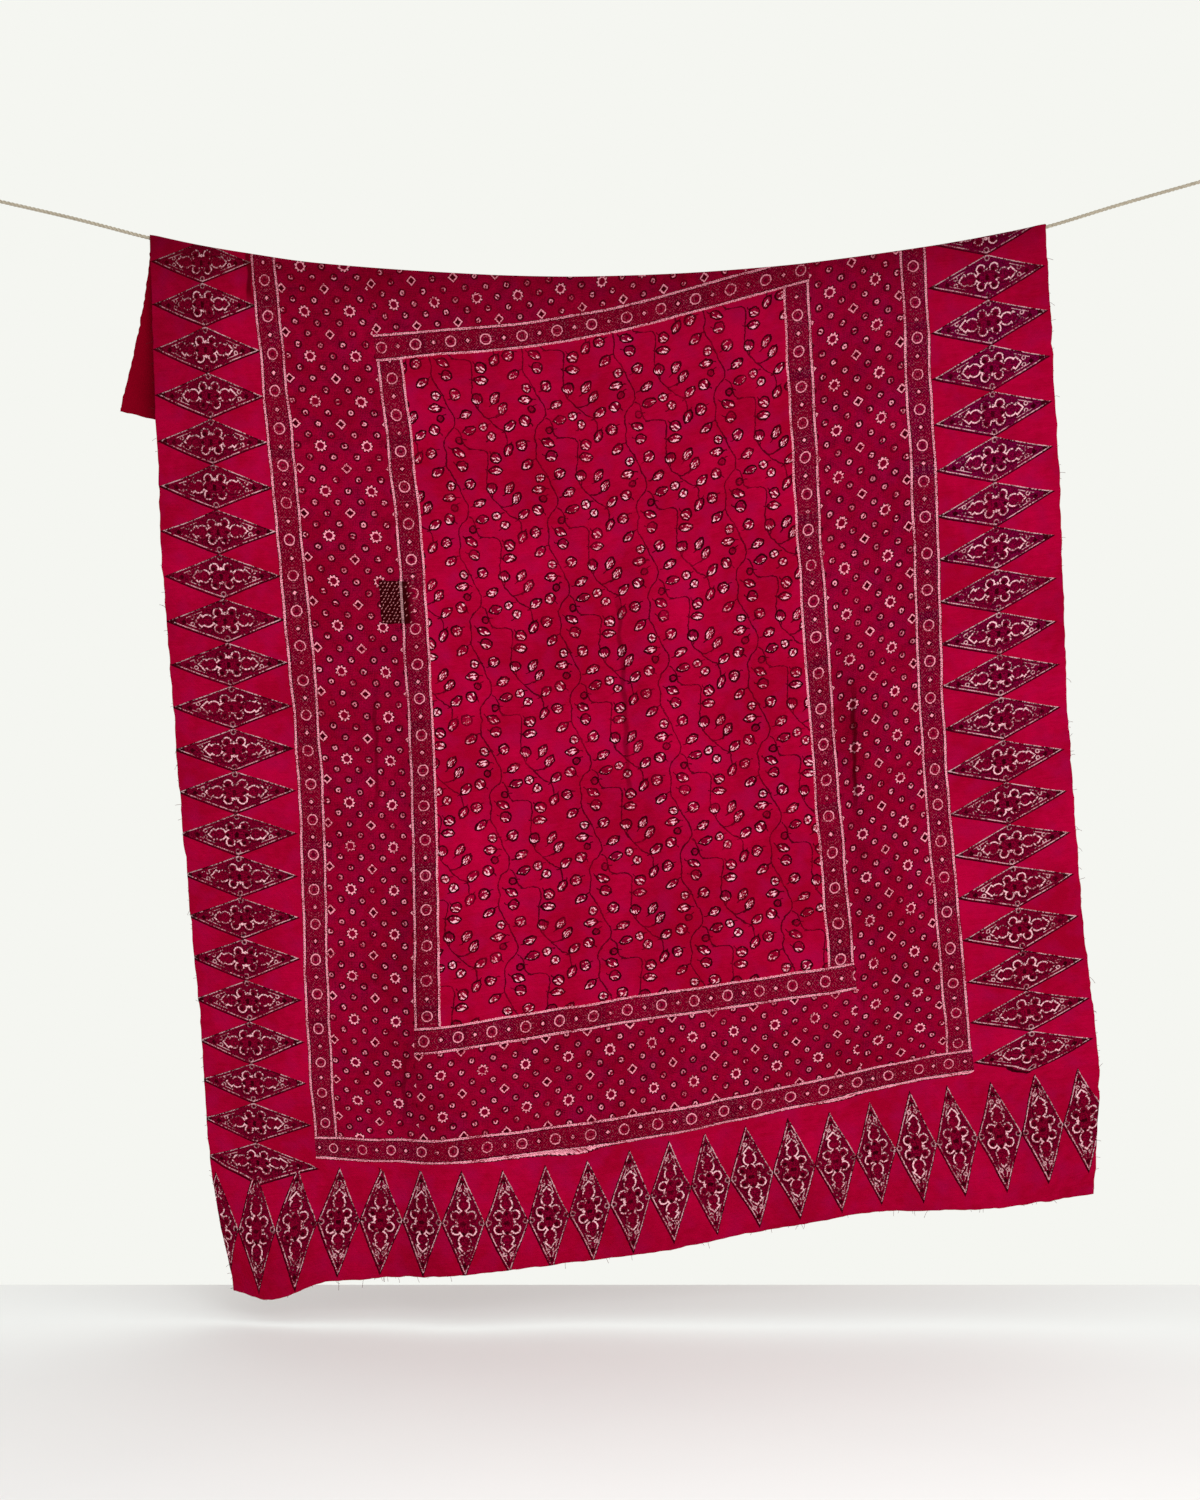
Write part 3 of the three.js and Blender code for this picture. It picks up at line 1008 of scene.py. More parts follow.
# Slip of the hem's lozenges: across, then shift and lift at their top, and both at their foot
HEM_SLIP = np.array([
    (0.015, 0.006, 0.001, 0.025, -0.0005), (0.083, -0.0005, -0.005, 0.0285, 0.0065),
    (0.151, -0.005, -0.0015, 0.0195, 0.0085), (0.219, -0.012, 0.0015, 0.005, 0.0035),
    (0.287, -0.02, -0.005, -0.0055, 0.0015), (0.355, -0.025, -0.005, -0.0175, 0.0),
    (0.424, -0.0245, -0.004, -0.0185, 0.0025), (0.492, -0.021, 0.0055, -0.0205, 0.0065),
    (0.560, -0.0155, 0.0065, -0.0205, 0.0095), (0.628, -0.0125, 0.0085, -0.0165, 0.0045),
    (0.696, -0.01, 0.0025, -0.0115, -0.001), (0.764, -0.005, -0.003, -0.0065, -0.0075),
    (0.832, 0.0085, -0.005, -0.0075, -0.0055), (0.900, 0.0105, -0.002, -0.0055, -0.0025),
    (0.968, 0.0115, 0.0025, -0.0005, -0.0035), (1.036, 0.0145, 0.0065, 0.003, 0.001),
    (1.105, 0.018, 0.003, 0.007, 0.003), (1.173, 0.0165, 0.0015, 0.0065, 0.0095),
    (1.241, 0.02, 0.0025, 0.004, 0.0105), (1.309, 0.0155, 0.0055, -0.0015, 0.012),
    (1.377, 0.012, -0.0015, -0.006, 0.007), (1.445, 0.013, -0.0055, -0.009, -0.003),
])

# Slip of the columns' lozenges: up, then at the left's outer and inner tips, the right's inner
# and outer tips
EDGE_SLIP = np.array([
    (0.19, 0.0000, 0.0255, -0.005, -0.0295), (0.26, 0.0025, 0.0175, -0.0085, -0.0305),
    (0.33, 0.003, 0.010, -0.0135, -0.0315), (0.40, 0.0055, 0.007, -0.014, -0.031),
    (0.54, 0.0095, 0.0135, -0.005, -0.023), (0.67, 0.014, 0.020, 0.0035, -0.013),
    (0.80, 0.0185, 0.022, 0.0095, -0.006), (0.94, 0.0195, 0.026, 0.019, -0.0005),
    (1.08, 0.0195, 0.0275, 0.0265, 0.0035), (1.22, 0.014, 0.027, 0.0235, 0.0045),
    (1.36, 0.008, 0.0235, 0.020, 0.0025), (1.50, -0.0005, 0.016, 0.019, 0.002),
    (1.60, -0.0055, 0.0125, 0.019, 0.002), (1.73, -0.0045, 0.015, 0.019, 0.002),
])
FRONT_FOLDS = (
    Fold(-0.060, -0.050, 0.30, 1.30, -0.034, 0.100, 0.105),
    Fold(0.200, 0.214, -0.10, 0.06, -0.004, 0.014, 0.012),
    Fold(0.100, 0.120, -0.10, 0.45, 0.017, 0.048, 0.080),
    Fold(0.405, 0.424, 0.22, 1.20, 0.021, 0.046, 0.130),
    Fold(0.340, 0.330, 0.50, 1.20, -0.007, 0.060, 0.040),
    Fold(0.775, 0.796, 0.16, 0.85, 0.010, 0.026, 0.110),
    Fold(1.086, 1.096, 0.36, 0.72, -0.007, 0.018, 0.014),
    Fold(1.122, 1.132, 0.30, 0.78, 0.014, 0.022, 0.090),
    Fold(1.256, 1.270, 0.10, 0.55, 0.012, 0.060, 0.095),
    Fold(0.640, 0.620, 0.85, 1.30, -0.009, 0.070, 0.080),
    Fold(0.985, 1.000, 0.80, 1.30, 0.008, 0.090, 0.060),
    Fold(1.480, 1.500, 0.70, 1.30, 0.022, 0.130, 0.110),
)
UNEVENNESS = (
    Unevenness(1.6, (0.11, 0.20), 0.0, 3), Unevenness(1.0, (0.045, 0.10), 0.2, 5),
    Unevenness(0.45, (0.026, 0.03), 0.0, 8),
)
BACK_RIPPLES = (
    Ripple(0.06, 0.014, 0.09), Ripple(0.33, 0.026, 0.08), Ripple(0.64, 0.016, 0.10),
    Ripple(0.93, 0.028, 0.09), Ripple(1.24, 0.018, 0.10), Ripple(1.44, 0.008, 0.07),
)


def smooth(knots: Array, values: Array, at: Array) -> Array:
    """Smooth curve through knots, straight past both ends.

    Args:
        knots: rising places of the knots.
        values: a number or a row of numbers at each knot.
        at: places that are wanted.

    Returns:
        The curve's values at those places.
    """
    steps = np.arange(len(knots))
    before, after = np.maximum(steps - 1, 0), np.minimum(steps + 1, len(knots) - 1)
    wide = (..., *(None,) * (values.ndim - 1))
    slope = (values[after] - values[before]) / (knots[after] - knots[before])[wide]
    inside = np.clip(at, knots[0], knots[-1])
    i = np.clip(np.searchsorted(knots, inside, side="right") - 1, 0, len(knots) - 2)
    span = (knots[i + 1] - knots[i])[wide]
    t = (inside - knots[i])[wide] / span
    curve = values[i] + (values[i + 1] - values[i]) * t * t * (3 - 2 * t)
    curve = curve + span * t * (1 - t) * (slope[i] * (1 - t) - slope[i + 1] * t)
    past = (at - inside)[wide]
    return curve + np.minimum(past, 0) * slope[0] + np.maximum(past, 0) * slope[-1]


def ease(value: Array, start: float, end: float) -> Array:
    """Smooth rise from 0 at the start to 1 at the end."""
    t = np.clip((value - start) / (end - start), 0, 1)
    return t * t * (3 - 2 * t)


def bell(distance: Array, left: float, right: float) -> Array:
    """Bell of unit height with its own width on each side."""
    return np.exp(-((distance / np.where(distance < 0, left, right)) ** 2))


def patchy(right: Array, up: Array, size: tuple[float, float], seed: int) -> Array:
    """Smooth seeded relief over a plane.

    Args:
        right, up: places on the plane.
        size: width and height of its patches.
        seed: choice of relief.

    Returns:
        Heights from -1 to 1.
    """
    cells = 64
    grid = np.random.default_rng(seed).uniform(-1, 1, (cells, cells))
    x, y = np.broadcast_arrays(right / size[0], up / size[1])
    i, j = np.floor(x).astype(int), np.floor(y).astype(int)
    s, t = ease(x - i, 0, 1), ease(y - j, 0, 1)
    i, j, east, north = i % cells, j % cells, (i + 1) % cells, (j + 1) % cells
    low = grid[j, i] * (1 - s) + grid[j, east] * s
    high = grid[north, i] * (1 - s) + grid[north, east] * s
    return low * (1 - t) + high * t


def unit(vectors: Array) -> Array:
    """Vectors at length one."""
    return vectors / np.linalg.norm(vectors, axis=-1, keepdims=True)


def path_run(points: Array) -> Array:
    """Distance along a path to each of its points."""
    return np.concatenate([[0], np.cumsum(np.linalg.norm(np.diff(points, axis=0), axis=1))])


# A way that no path starts along
ASKEW = (0.31, 0.83, 0.47)


class Skin:
    """Points, faces and flat map of one piece in the making."""

    def __init__(self, map_name: str) -> None:
        """Starts empty, with the name of its flat map."""
        self.map_name = map_name
        self.points: list[Array] = []
        self.faces: list[tuple[int, ...]] = []
        self.places: list[tuple[float, float]] = []
        self.finish_of_face: list[int] = []
        self.count = 0

    def add(self, points: Array, faces: list[tuple[int, ...]], places: Array, finish: int) -> None:
        """Adds faces over their own points.

        Args:
            points: the points.
            faces: numbers of the points round each face.
            places: map place of every corner of every face.
            finish: number of the finish.
        """
        self.points.append(points)
        self.faces.extend(tuple(i + self.count for i in face) for face in faces)
        self.places.extend(places)
        self.finish_of_face.extend([finish] * len(faces))
        self.count += len(points)

    def tube(self, centres: Array, outline: Array, twist: Array, finish: int = 0) -> None:
        """Adds a closed tube.

        Args:
            centres: points along its middle.
            outline: radius at each of the points round it.
            twist: turn of the outline at each centre.
            finish: number of the finish.
        """
        ahead = unit(np.gradient(centres, axis=0))
        side = np.empty_like(ahead)
        side[0] = unit(np.cross(ahead[0], ASKEW))
        for j in range(1, len(ahead)):
            side[j] = unit(side[j - 1] - ahead[j] * (side[j - 1] @ ahead[j]))
        lift = np.cross(ahead, side)
        rows, round_count = len(centres), len(outline)
        angle = twist[:, None] + np.arange(round_count) * (2 * math.pi / round_count)
        reach = outline[None, :, None]
        rings = centres[:, None] + reach * (
            np.cos(angle)[..., None] * side[:, None] + np.sin(angle)[..., None] * lift[:, None]
        )
        along = path_run(centres)
        points = np.concatenate([rings.reshape(-1, 3), centres[:1], centres[-1:]])
        faces, places = [], []
        for j in range(rows - 1):
            for i in range(round_count):
                k = (i + 1) % round_count
                here, after = j * round_count, (j + 1) * round_count
                faces.append((here + i, here + k, after + k, after + i))
                for row, step in ((j, i), (j, i + 1), (j + 1, i + 1), (j + 1, i)):
                    places.append((along[row], step / round_count))
        first, last = rows * round_count, rows * round_count + 1
        for i in range(round_count):
            k = (i + 1) % round_count
            end = (rows - 1) * round_count
            faces += [(first, k, i), (last, end + i, end + k)]
            places += [(0.0, i / round_count)] * 3 + [(along[-1], i / round_count)] * 3
        self.add(points, faces, places, finish)

    def sheet(self, middle: Array, low: Array, high: Array, flat: Array) -> None:
        """Adds a closed sheet, with its face in the first finish and the rest in the last.

        Args:
            middle: grid of points of its middle layer, upwards and then across.
            low, high: heights of the reverse and of the face over that layer.
            flat: place of each grid point on the flat cloth.
        """
        rows, columns = middle.shape[:2]
        normal = unit(np.cross(np.gradient(middle, axis=1), np.gradient(middle, axis=0)))
        face, reverse = middle + normal * high[..., None], middle + normal * low[..., None]
        start = rows * columns
        front, rest = [], []
        for j in range(rows - 1):
            for i in range(columns - 1):
                a = j * columns + i
                front.append((a, a + 1, a + columns + 1, a + columns))
                rest.append(tuple(start + k for k in reversed(front[-1])))
        hem = np.arange(columns)
        top = hem[::-1] + (rows - 1) * columns
        right_edge = np.arange(rows) * columns + columns - 1
        left_edge = np.arange(rows)[::-1] * columns
        for edge in (hem, right_edge, top, left_edge):
            for a, b in zip(edge[:-1].tolist(), edge[1:].tolist()):
                rest.append((a + start, b + start, b, a))
        points = np.concatenate([face.reshape(-1, 3), reverse.reshape(-1, 3)])
        places = np.concatenate([flat.reshape(-1, 2)] * 2)
        faces = front + rest
        self.add(points, faces, places[np.array(faces).ravel()].tolist(), 0)
        self.finish_of_face[-len(rest):] = [1] * len(rest)

    def piece(
        self, name: str, finishes: list[bpy.types.Material], slot: str, *nodes: str
    ) -> bpy.types.Object:
        """Makes the piece and hangs it on the body.

        Args:
            name: the piece's name.
            finishes: its materials.
            slot: the record's material slot; not used.
            nodes: CAD nodes that it stands for.

        Returns:
            The piece.
        """
        mesh = bpy.data.meshes.new(name)
        mesh.from_pydata(np.concatenate(self.points).tolist(), [], self.faces)
        layer = mesh.uv_layers.new(name=self.map_name)
        layer.data.foreach_set("uv", np.array(self.places, dtype=np.float32).ravel())
        for finish in finishes:
            mesh.materials.append(finish)
        mesh.polygons.foreach_set("material_index", self.finish_of_face)
        mesh.shade_smooth()
        mesh.update()
        piece = bpy.data.objects.new(name, mesh)
        bpy.context.scene.collection.objects.link(piece)
        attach(piece, BODY)
        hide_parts(*nodes)
        log.info("%s: %d faces", name, len(self.faces))
        return piece


def even_path(points: Array, step: float) -> Array:
    """Points at even steps along the smooth curve through some points."""
    chord, fine_steps = path_run(points), 60
    fine = smooth(chord, points, np.linspace(0, chord[-1], len(points) * fine_steps))
    run = path_run(fine)
    at = np.linspace(0, run[-1], max(2, round(run[-1] / step) + 1))
    return np.stack([np.interp(at, run, fine[:, k]) for k in range(3)], axis=1)


def strand_outline(diameter: float, strands: int, per_strand: int) -> Array:
    """Radii round a rope of touching strands.

    Args:
        diameter: the rope's diameter.
        strands: how many strands it has.
        per_strand: points round each strand.

    Returns:
        The radius at each point.
    """
    share = math.sin(math.pi / strands)
    radius = diameter / 2 * share / (1 + share)
    offset = diameter / 2 - radius
    angle = (np.arange(per_strand) / per_strand - 0.5) * (2 * math.pi / strands)
    inside = np.maximum(radius**2 - (offset * np.sin(angle)) ** 2, 0)
    valley = 0.6 * diameter / 2
    lobe = np.maximum(offset * np.cos(angle) + np.sqrt(inside), valley)
    return np.tile(lobe, strands)


@dataclass(frozen=True)
class LoopEnd:
    """Frame of the loop at one end of the line."""

    side: Side

    def place(self, along: float, off: float, forward: float = 0.0) -> Point:
        """Point at a distance in from the hook, off the loop's middle, and towards the viewer."""
        hook_x, hook_z = HOOKS[self.side]
        angle = math.atan(ROPE_SLOPES[self.side])
        way, rise = math.cos(angle), math.sin(angle)
        x = hook_x + self.side.value * (along * way + off * rise)
        return (x, -forward, hook_z - along * rise + off * way)


@dataclass(frozen=True)
class RopeLine:
    """Three-strand rope, tied back into a loop at each end."""

    diameter: float = 0.006
    strands: int = 3
    per_strand: int = 7
    pitch: float = 0.021
    step: float = 0.0015

    def build(self, finish: bpy.types.Material) -> tuple[bpy.types.Object, Array]:
        """Makes the rope along the line and both loops.

        Args:
            finish: its material.

        Returns:
            The rope and the path of its middle.
        """
        left, right = LoopEnd(Side.LEFT), LoopEnd(Side.RIGHT)
        points = [left.place(*spot) for spot in LOOP_ROUTE]
        points += [(x, 0.0, z) for x, z in LINE_ROUTE]
        points += [right.place(*spot) for spot in reversed(LOOP_ROUTE)]
        path = even_path(np.array(points), self.step)
        twist = np.arange(len(path)) * (self.step * 2 * math.pi / self.pitch)
        skin = Skin(STRAND_MAP)
        skin.tube(path, strand_outline(self.diameter, self.strands, self.per_strand), twist)
        nodes = ("line", "line_loop_left", "line_loop_right")
        return skin.piece("twisted_rope", [finish], "rope_fibre", *nodes), path

    def declare(
        self, rope: bpy.types.Object, path: Array, bindings: list[bpy.types.Object]
    ) -> None:
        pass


@dataclass(frozen=True)
class Seizing:
    """Turns of twine that bind the two legs of a loop."""

    side: Side
    start: float = 0.0765
    length: float = 0.0185
    turns: int = 9
    leg_offset: float = 0.0032
    leg_reach: float = 0.0044
    diameter: float = 0.002
    strands: int = 2
    per_strand: int = 4
    pitch: float = 0.006
    step: float = 0.0012
    per_turn: int = 24

    def build(self, finish: bpy.types.Material) -> bpy.types.Object:
        """Winds the twine."""
        straight, arc = 2 * self.leg_offset, math.pi * self.leg_reach
        round_length = 2 * (straight + arc)
        steps = self.per_turn * self.turns
        end = LoopEnd(self.side)
        points = []
        for k in range(steps + 1):
            run = (k / self.per_turn * round_length) % round_length
            half, run = divmod(run, straight + arc)
            turned = -1 if half else 1
            angle = max(run - straight, 0) / self.leg_reach
            off = min(run, straight) - self.leg_offset + self.leg_reach * math.sin(angle)
            forward = self.leg_reach * math.cos(angle)
            along = self.start + self.length * k / steps
            points.append(end.place(along, turned * off, turned * forward))
        path = even_path(np.array(points), self.step)
        twist = np.arange(len(path)) * (self.step * 2 * math.pi / self.pitch)
        skin = Skin(STRAND_MAP)
        skin.tube(path, strand_outline(self.diameter, self.strands, self.per_strand), twist)
        side = self.side.name.lower()
        return skin.piece(f"twine_turns_{side}", [finish], "twine", f"seizing_{side}")


@dataclass(frozen=True)
class Drape:
    """Where every place of the hanging quilt's middle layer comes to lie."""

    width: float = 1.466
    length: float = 1.99
    bend_radius: float = 0.005
    front_slant: float = 1.006
    back_stand: float = 0.07
    back_ease: float = 1.4
    fold_ease: float = 0.14
    fold_start: float = 0.06
    edge_wave: float = 0.0016
    short_wave: float = 0.6
    side_waves: tuple[float, float] = (0.018, 0.006)
    hem_waves: tuple[float, float] = (0.022, 0.007)
    edge_reach: float = 0.014
    unevenness: float = 0.0011
    row_height: float = 0.172
    column_width: float = 0.185

    def drop(self, across: Array) -> Array:
        """Drop of the front below the line."""
        return smooth(UPRIGHTS[:, 0], UPRIGHTS[:, 1], across)

    def back_drop(self, across: Array) -> Array:
        """Drop of the back flap below the line."""
        bend = math.pi * self.bend_radius
        return self.length - bend - self.drop(across) * self.front_slant

    def layer(self, panel: Panel, share: Array, across: Array) -> Array:
        """Grid of points of one panel.

        Args:
            panel: the panel.
            share: shares of its drop or of its bend.
            across: places across the cloth.

        Returns:
            Points by share and then by place across.
        """
        tops = smooth(UPRIGHTS[:, 0], UPRIGHTS[:, 2:8], across)
        top_x = tops[:, 0]
        top_z = smooth(LINE_ROUTE[:, 0], LINE_ROUTE[:, 1], top_x)
        down = share[:, None]
        if panel is Panel.FRONT:
            x = smooth(HEIGHTS, tops.T, share)
            y = -self.bend_radius - self.front_relief(down, across)
            z = top_z - self.drop(across) * down
        elif panel is Panel.BEND:
            x = np.broadcast_to(top_x, (len(share), len(across)))
            y = -self.bend_radius * np.cos(down * math.pi)
            z = top_z + self.bend_radius * np.sin(down * math.pi)
        else:
            fall = self.back_drop(across) * down
            x = top_x + smooth(UPRIGHTS[:, 0], UPRIGHTS[:, 8], across) * down**self.back_ease
            y = self.bend_radius + self.back_stand * fall + self.back_relief(down, across)
            z = top_z - fall
        x, z = self.ragged(panel, down, across, x, z)
        return np.stack(np.broadcast_arrays(x, y, z), axis=-1)

    def front_relief(self, share: Array, across: Array) -> Array:
        """How far the front stands towards the viewer of the plane it hangs in."""
        relief = 0
        for fold in FRONT_FOLDS:
            way = (share - fold.start) / (fold.end - fold.start)
            middle = fold.upper + (fold.lower - fold.upper) * way
            fade = ease(share, fold.start, fold.start + self.fold_ease)
            fade = fade * (1 - ease(share, fold.end - self.fold_ease, fold.end))
            relief = relief + fold.rise * fade * bell(across - middle, fold.left, fold.right)
        down = self.drop(across) * share
        relief = relief + self.unevenness * sum(
            layer.share * patchy(across - layer.lean * down, down, layer.size, layer.seed)
            for layer in UNEVENNESS
        )
        return relief * ease(share, 0, self.fold_start)

    def back_relief(self, share: Array, across: Array) -> Array:
        """How far the ripples of the back flap stand off."""
        relief = 0
        for ripple in BACK_RIPPLES:
            relief = relief + ripple.rise * bell(across - ripple.at, ripple.width, ripple.width)
        return relief * share**self.back_ease

    def ragged(
        self, panel: Panel, share: Array, across: Array, x: Array, z: Array
    ) -> tuple[Array, Array]:
        """Waves the cut edges a little.

        Args:
            panel: the panel.
            share, across: places on it.
            x, z: where they lie.

        Returns:
            Where they lie with the waves.
        """
        seed = 11 if panel is Panel.FRONT else 23
        run = share * (0.03 if panel is Panel.BEND else 1.5)
        quiet = 1 if panel is Panel.FRONT else 1 - ease(1 - share, 0.9, 1)
        for edge, offset in ((0.0, 0), (self.width, 1)):
            wave = self.waves(run, self.side_waves, (seed + offset, seed + offset + 4))
            near = np.exp(-np.abs(across - edge) / self.edge_reach)
            x = x + self.edge_wave * wave * near * ease(share, 0, 0.03) * quiet
        if panel is not Panel.BEND:
            drop = self.drop(across) if panel is Panel.FRONT else self.back_drop(across)
            near = np.exp(-drop * (1 - share) / self.edge_reach)
            wave = self.waves(across, self.hem_waves, (seed + 2, seed + 3))
            z = z + self.edge_wave * wave * near
        return x, z

    def waves(self, run: Array, sizes: tuple[float, float], seeds: tuple[int, int]) -> Array:
        """Long waves along a cut edge with short ones on them.

        Args:
            run: places along the edge.
            sizes: lengths of the long and the short waves.
            seeds: choice of each.

        Returns:
            How far the edge is out at each place, as a share of the long waves.
        """
        long, short = (patchy(run, 0.5, (size, 1.0), seed) for size, seed in zip(sizes, seeds))
        return long + self.short_wave * short

    def flat(self, panel: Panel, share: Array, across: Array) -> Array:
        """Place of one panel's grid on the flat cloth, as it was printed.

        Args:
            panel: the panel.
            share: shares of its drop or of its bend.
            across: places across the cloth.

        Returns:
            Distance across and up from the printed hem, by share and then by place across.
        """
        lines = smooth(PRINTED_LINES[:, 0], PRINTED_LINES[:, 1:], across)
        first, second, third = PRINTED_HEIGHTS
        top = first + lines[:, 0] * (first - second) / (lines[:, 1] - lines[:, 0])
        bend = math.pi * self.bend_radius
        down = share[:, None]
        sideways = np.broadcast_to(across, (len(share), len(across)))
        if panel is Panel.BEND:
            up = top + bend * down
        elif panel is Panel.BACK:
            up = top + bend + self.back_drop(across) * down
        else:
            drop = self.drop(across)
            columns = [
                np.interp(d * share, (0, a, b, c, d), (t, first, second, third, h))
                for d, t, (a, b, c, h) in zip(drop, top, lines)
            ]
            up = np.stack(columns, axis=1)
            slip = smooth(HEM_SLIP[:, 0], HEM_SLIP[:, 1:], across)
            foot = np.clip(1 - up / self.row_height, 0, 1)[..., None]
            slip = slip[:, :2] * (1 - foot) + slip[:, 2:] * foot
            slip = slip * ease(-up, -third, -self.row_height)[..., None]
            sideways, up = sideways + slip[..., 0], up + slip[..., 1]
        return np.stack(np.broadcast_arrays(sideways, up), axis=-1)

    def edge_run(self, flat: Array) -> Array:
        """How far up the printed columns along both side edges each place lies.

        Args:
            flat: places on the flat cloth, across and up.

        Returns:
            The distances in millimetres, from the printed hem.
        """
        across, up = flat[..., 0], flat[..., 1]
        inside = np.clip(up, EDGE_SLIP[0, 0], EDGE_SLIP[-1, 0])
        slip = smooth(EDGE_SLIP[:, 0], EDGE_SLIP[:, 1:], inside)
        left = np.clip(across / self.column_width, 0, 1)
        right = np.clip((self.width - across) / self.column_width, 0, 1)
        slip_left = slip[..., 0] * (1 - left) + slip[..., 1] * left
        slip_right = slip[..., 3] * (1 - right) + slip[..., 2] * right
        return 1000 * (up + np.where(across < self.width / 2, slip_left, slip_right))


# Cells of the quilt's mesh: strips as (end, cells), finer towards the edges and one crease
ACROSS_STRIPS = (
    (0.0015, 1), (0.005, 1), (0.012, 1), (1.060, 124), (1.150, 16), (1.454, 36), (1.461, 1),
    (1.4645, 1), (1.466, 1),
)
FRONT_STRIPS = ((0.02, 2), (0.985, 172))
FRONT_HEM = (1.0, 0.9992, 0.9978, 0.9945, 0.991, 0.9885)
BEND_CELLS = 8
BACK_STRIPS = ((0.96, 44),)
BACK_HEM = (0.968, 0.975, 0.985, 0.992, 0.997, 1.0)


@dataclass(frozen=True)
class Quilt:
    """The hanging quilt: one closed sheet with thin raw edges and a turned hem."""

    drape: Drape
    half: float = 0.0015
    edge_half: float = 0.0006
    hem_half: float = 0.0019
    hem_depth: float = 0.014
    hem_slope: float = 0.6
    edge_width: float = 0.01
    # Strength and reach of the painted shade under the line and towards the top of the left edge
    crease_shade: float = 0.42
    crease_reach: float = 0.085
    edge_shade: float = 0.24
    edge_shade_size: tuple[float, float] = (0.1, 0.4)

    def build(self, face: bpy.types.Material, reverse: bpy.types.Material) -> bpy.types.Object:
        """Makes the cloth.

        Args:
            face: material of the printed face.
            reverse: material of the reverse and the raw edges.

        Returns:
            The cloth.
        """
        across = cell_edges(*ACROSS_STRIPS)
        front = np.concatenate([FRONT_HEM, cell_edges(*FRONT_STRIPS)[::-1]])
        bend = np.arange(1, BEND_CELLS) / BEND_CELLS
        back = np.concatenate([cell_edges(*BACK_STRIPS), BACK_HEM])
        panels = ((Panel.FRONT, front), (Panel.BEND, bend), (Panel.BACK, back))
        drape = self.drape
        middle = np.concatenate([drape.layer(panel, s, across) for panel, s in panels])
        flat = np.concatenate([drape.flat(panel, s, across) for panel, s in panels])
        from_hem = np.concatenate([
            (1 - front[:, None]) * drape.drop(across),
            np.ones((len(bend), len(across))),
            (1 - back[:, None]) * drape.back_drop(across),
        ])
        half = self.thickness(across, from_hem)
        skin = Skin(CLOTH_MAP)
        skin.sheet(middle, -half, half, flat)
        cloth = skin.piece("kantha_cloth", [face, reverse], "quilt_cloth", "quilt")
        below = np.concatenate([
            front[:, None] * drape.drop(across),
            np.zeros((len(bend), len(across))),
            back[:, None] * drape.back_drop(across),
        ])
        # Painted shade, kept as the fold_shade attribute: darker just under the line, and towards
        # the top of the left edge
        shade = self.crease_shade * np.exp(-below / self.crease_reach)
        wide, tall = self.edge_shade_size
        shade = shade + self.edge_shade * np.exp(-((across / wide) ** 2) - (below / tall) ** 2)
        for name, values in ((FOLD_SHADE, shade), (EDGE_RUN, drape.edge_run(flat))):
            layer = cloth.data.attributes.new(name, "FLOAT", "POINT")
            layer.data.foreach_set("value", np.tile(values.ravel(), 2).astype(np.float32))
        return cloth

    def thickness(self, across: Array, from_hem: Array) -> Array:
        """Half the thickness by place across and distance from the hem."""
        side = np.minimum(across, self.drape.width - across)
        half = self.edge_half + (self.half - self.edge_half) * ease(side, 0, self.edge_width)
        roll = bell(from_hem - self.hem_depth / 2, self.hem_depth / 2, self.hem_depth / 2)
        half = half + (self.hem_half - self.half) * roll
        return np.minimum(half, self.edge_half + from_hem * self.hem_slope)

    def declare(
        self, cloth: bpy.types.Object, rope: bpy.types.Object, pieces: list[bpy.types.Object]
    ) -> None:
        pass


def cell_edges(*strips: tuple[float, int]) -> Array:
    """Edges of cells in strips that follow each other from zero, as (end, cells)."""
    edges = [0.0]
    for end, cells in strips:
        edges.extend(np.linspace(edges[-1], end, cells + 1)[1:].tolist())
    return np.array(edges)


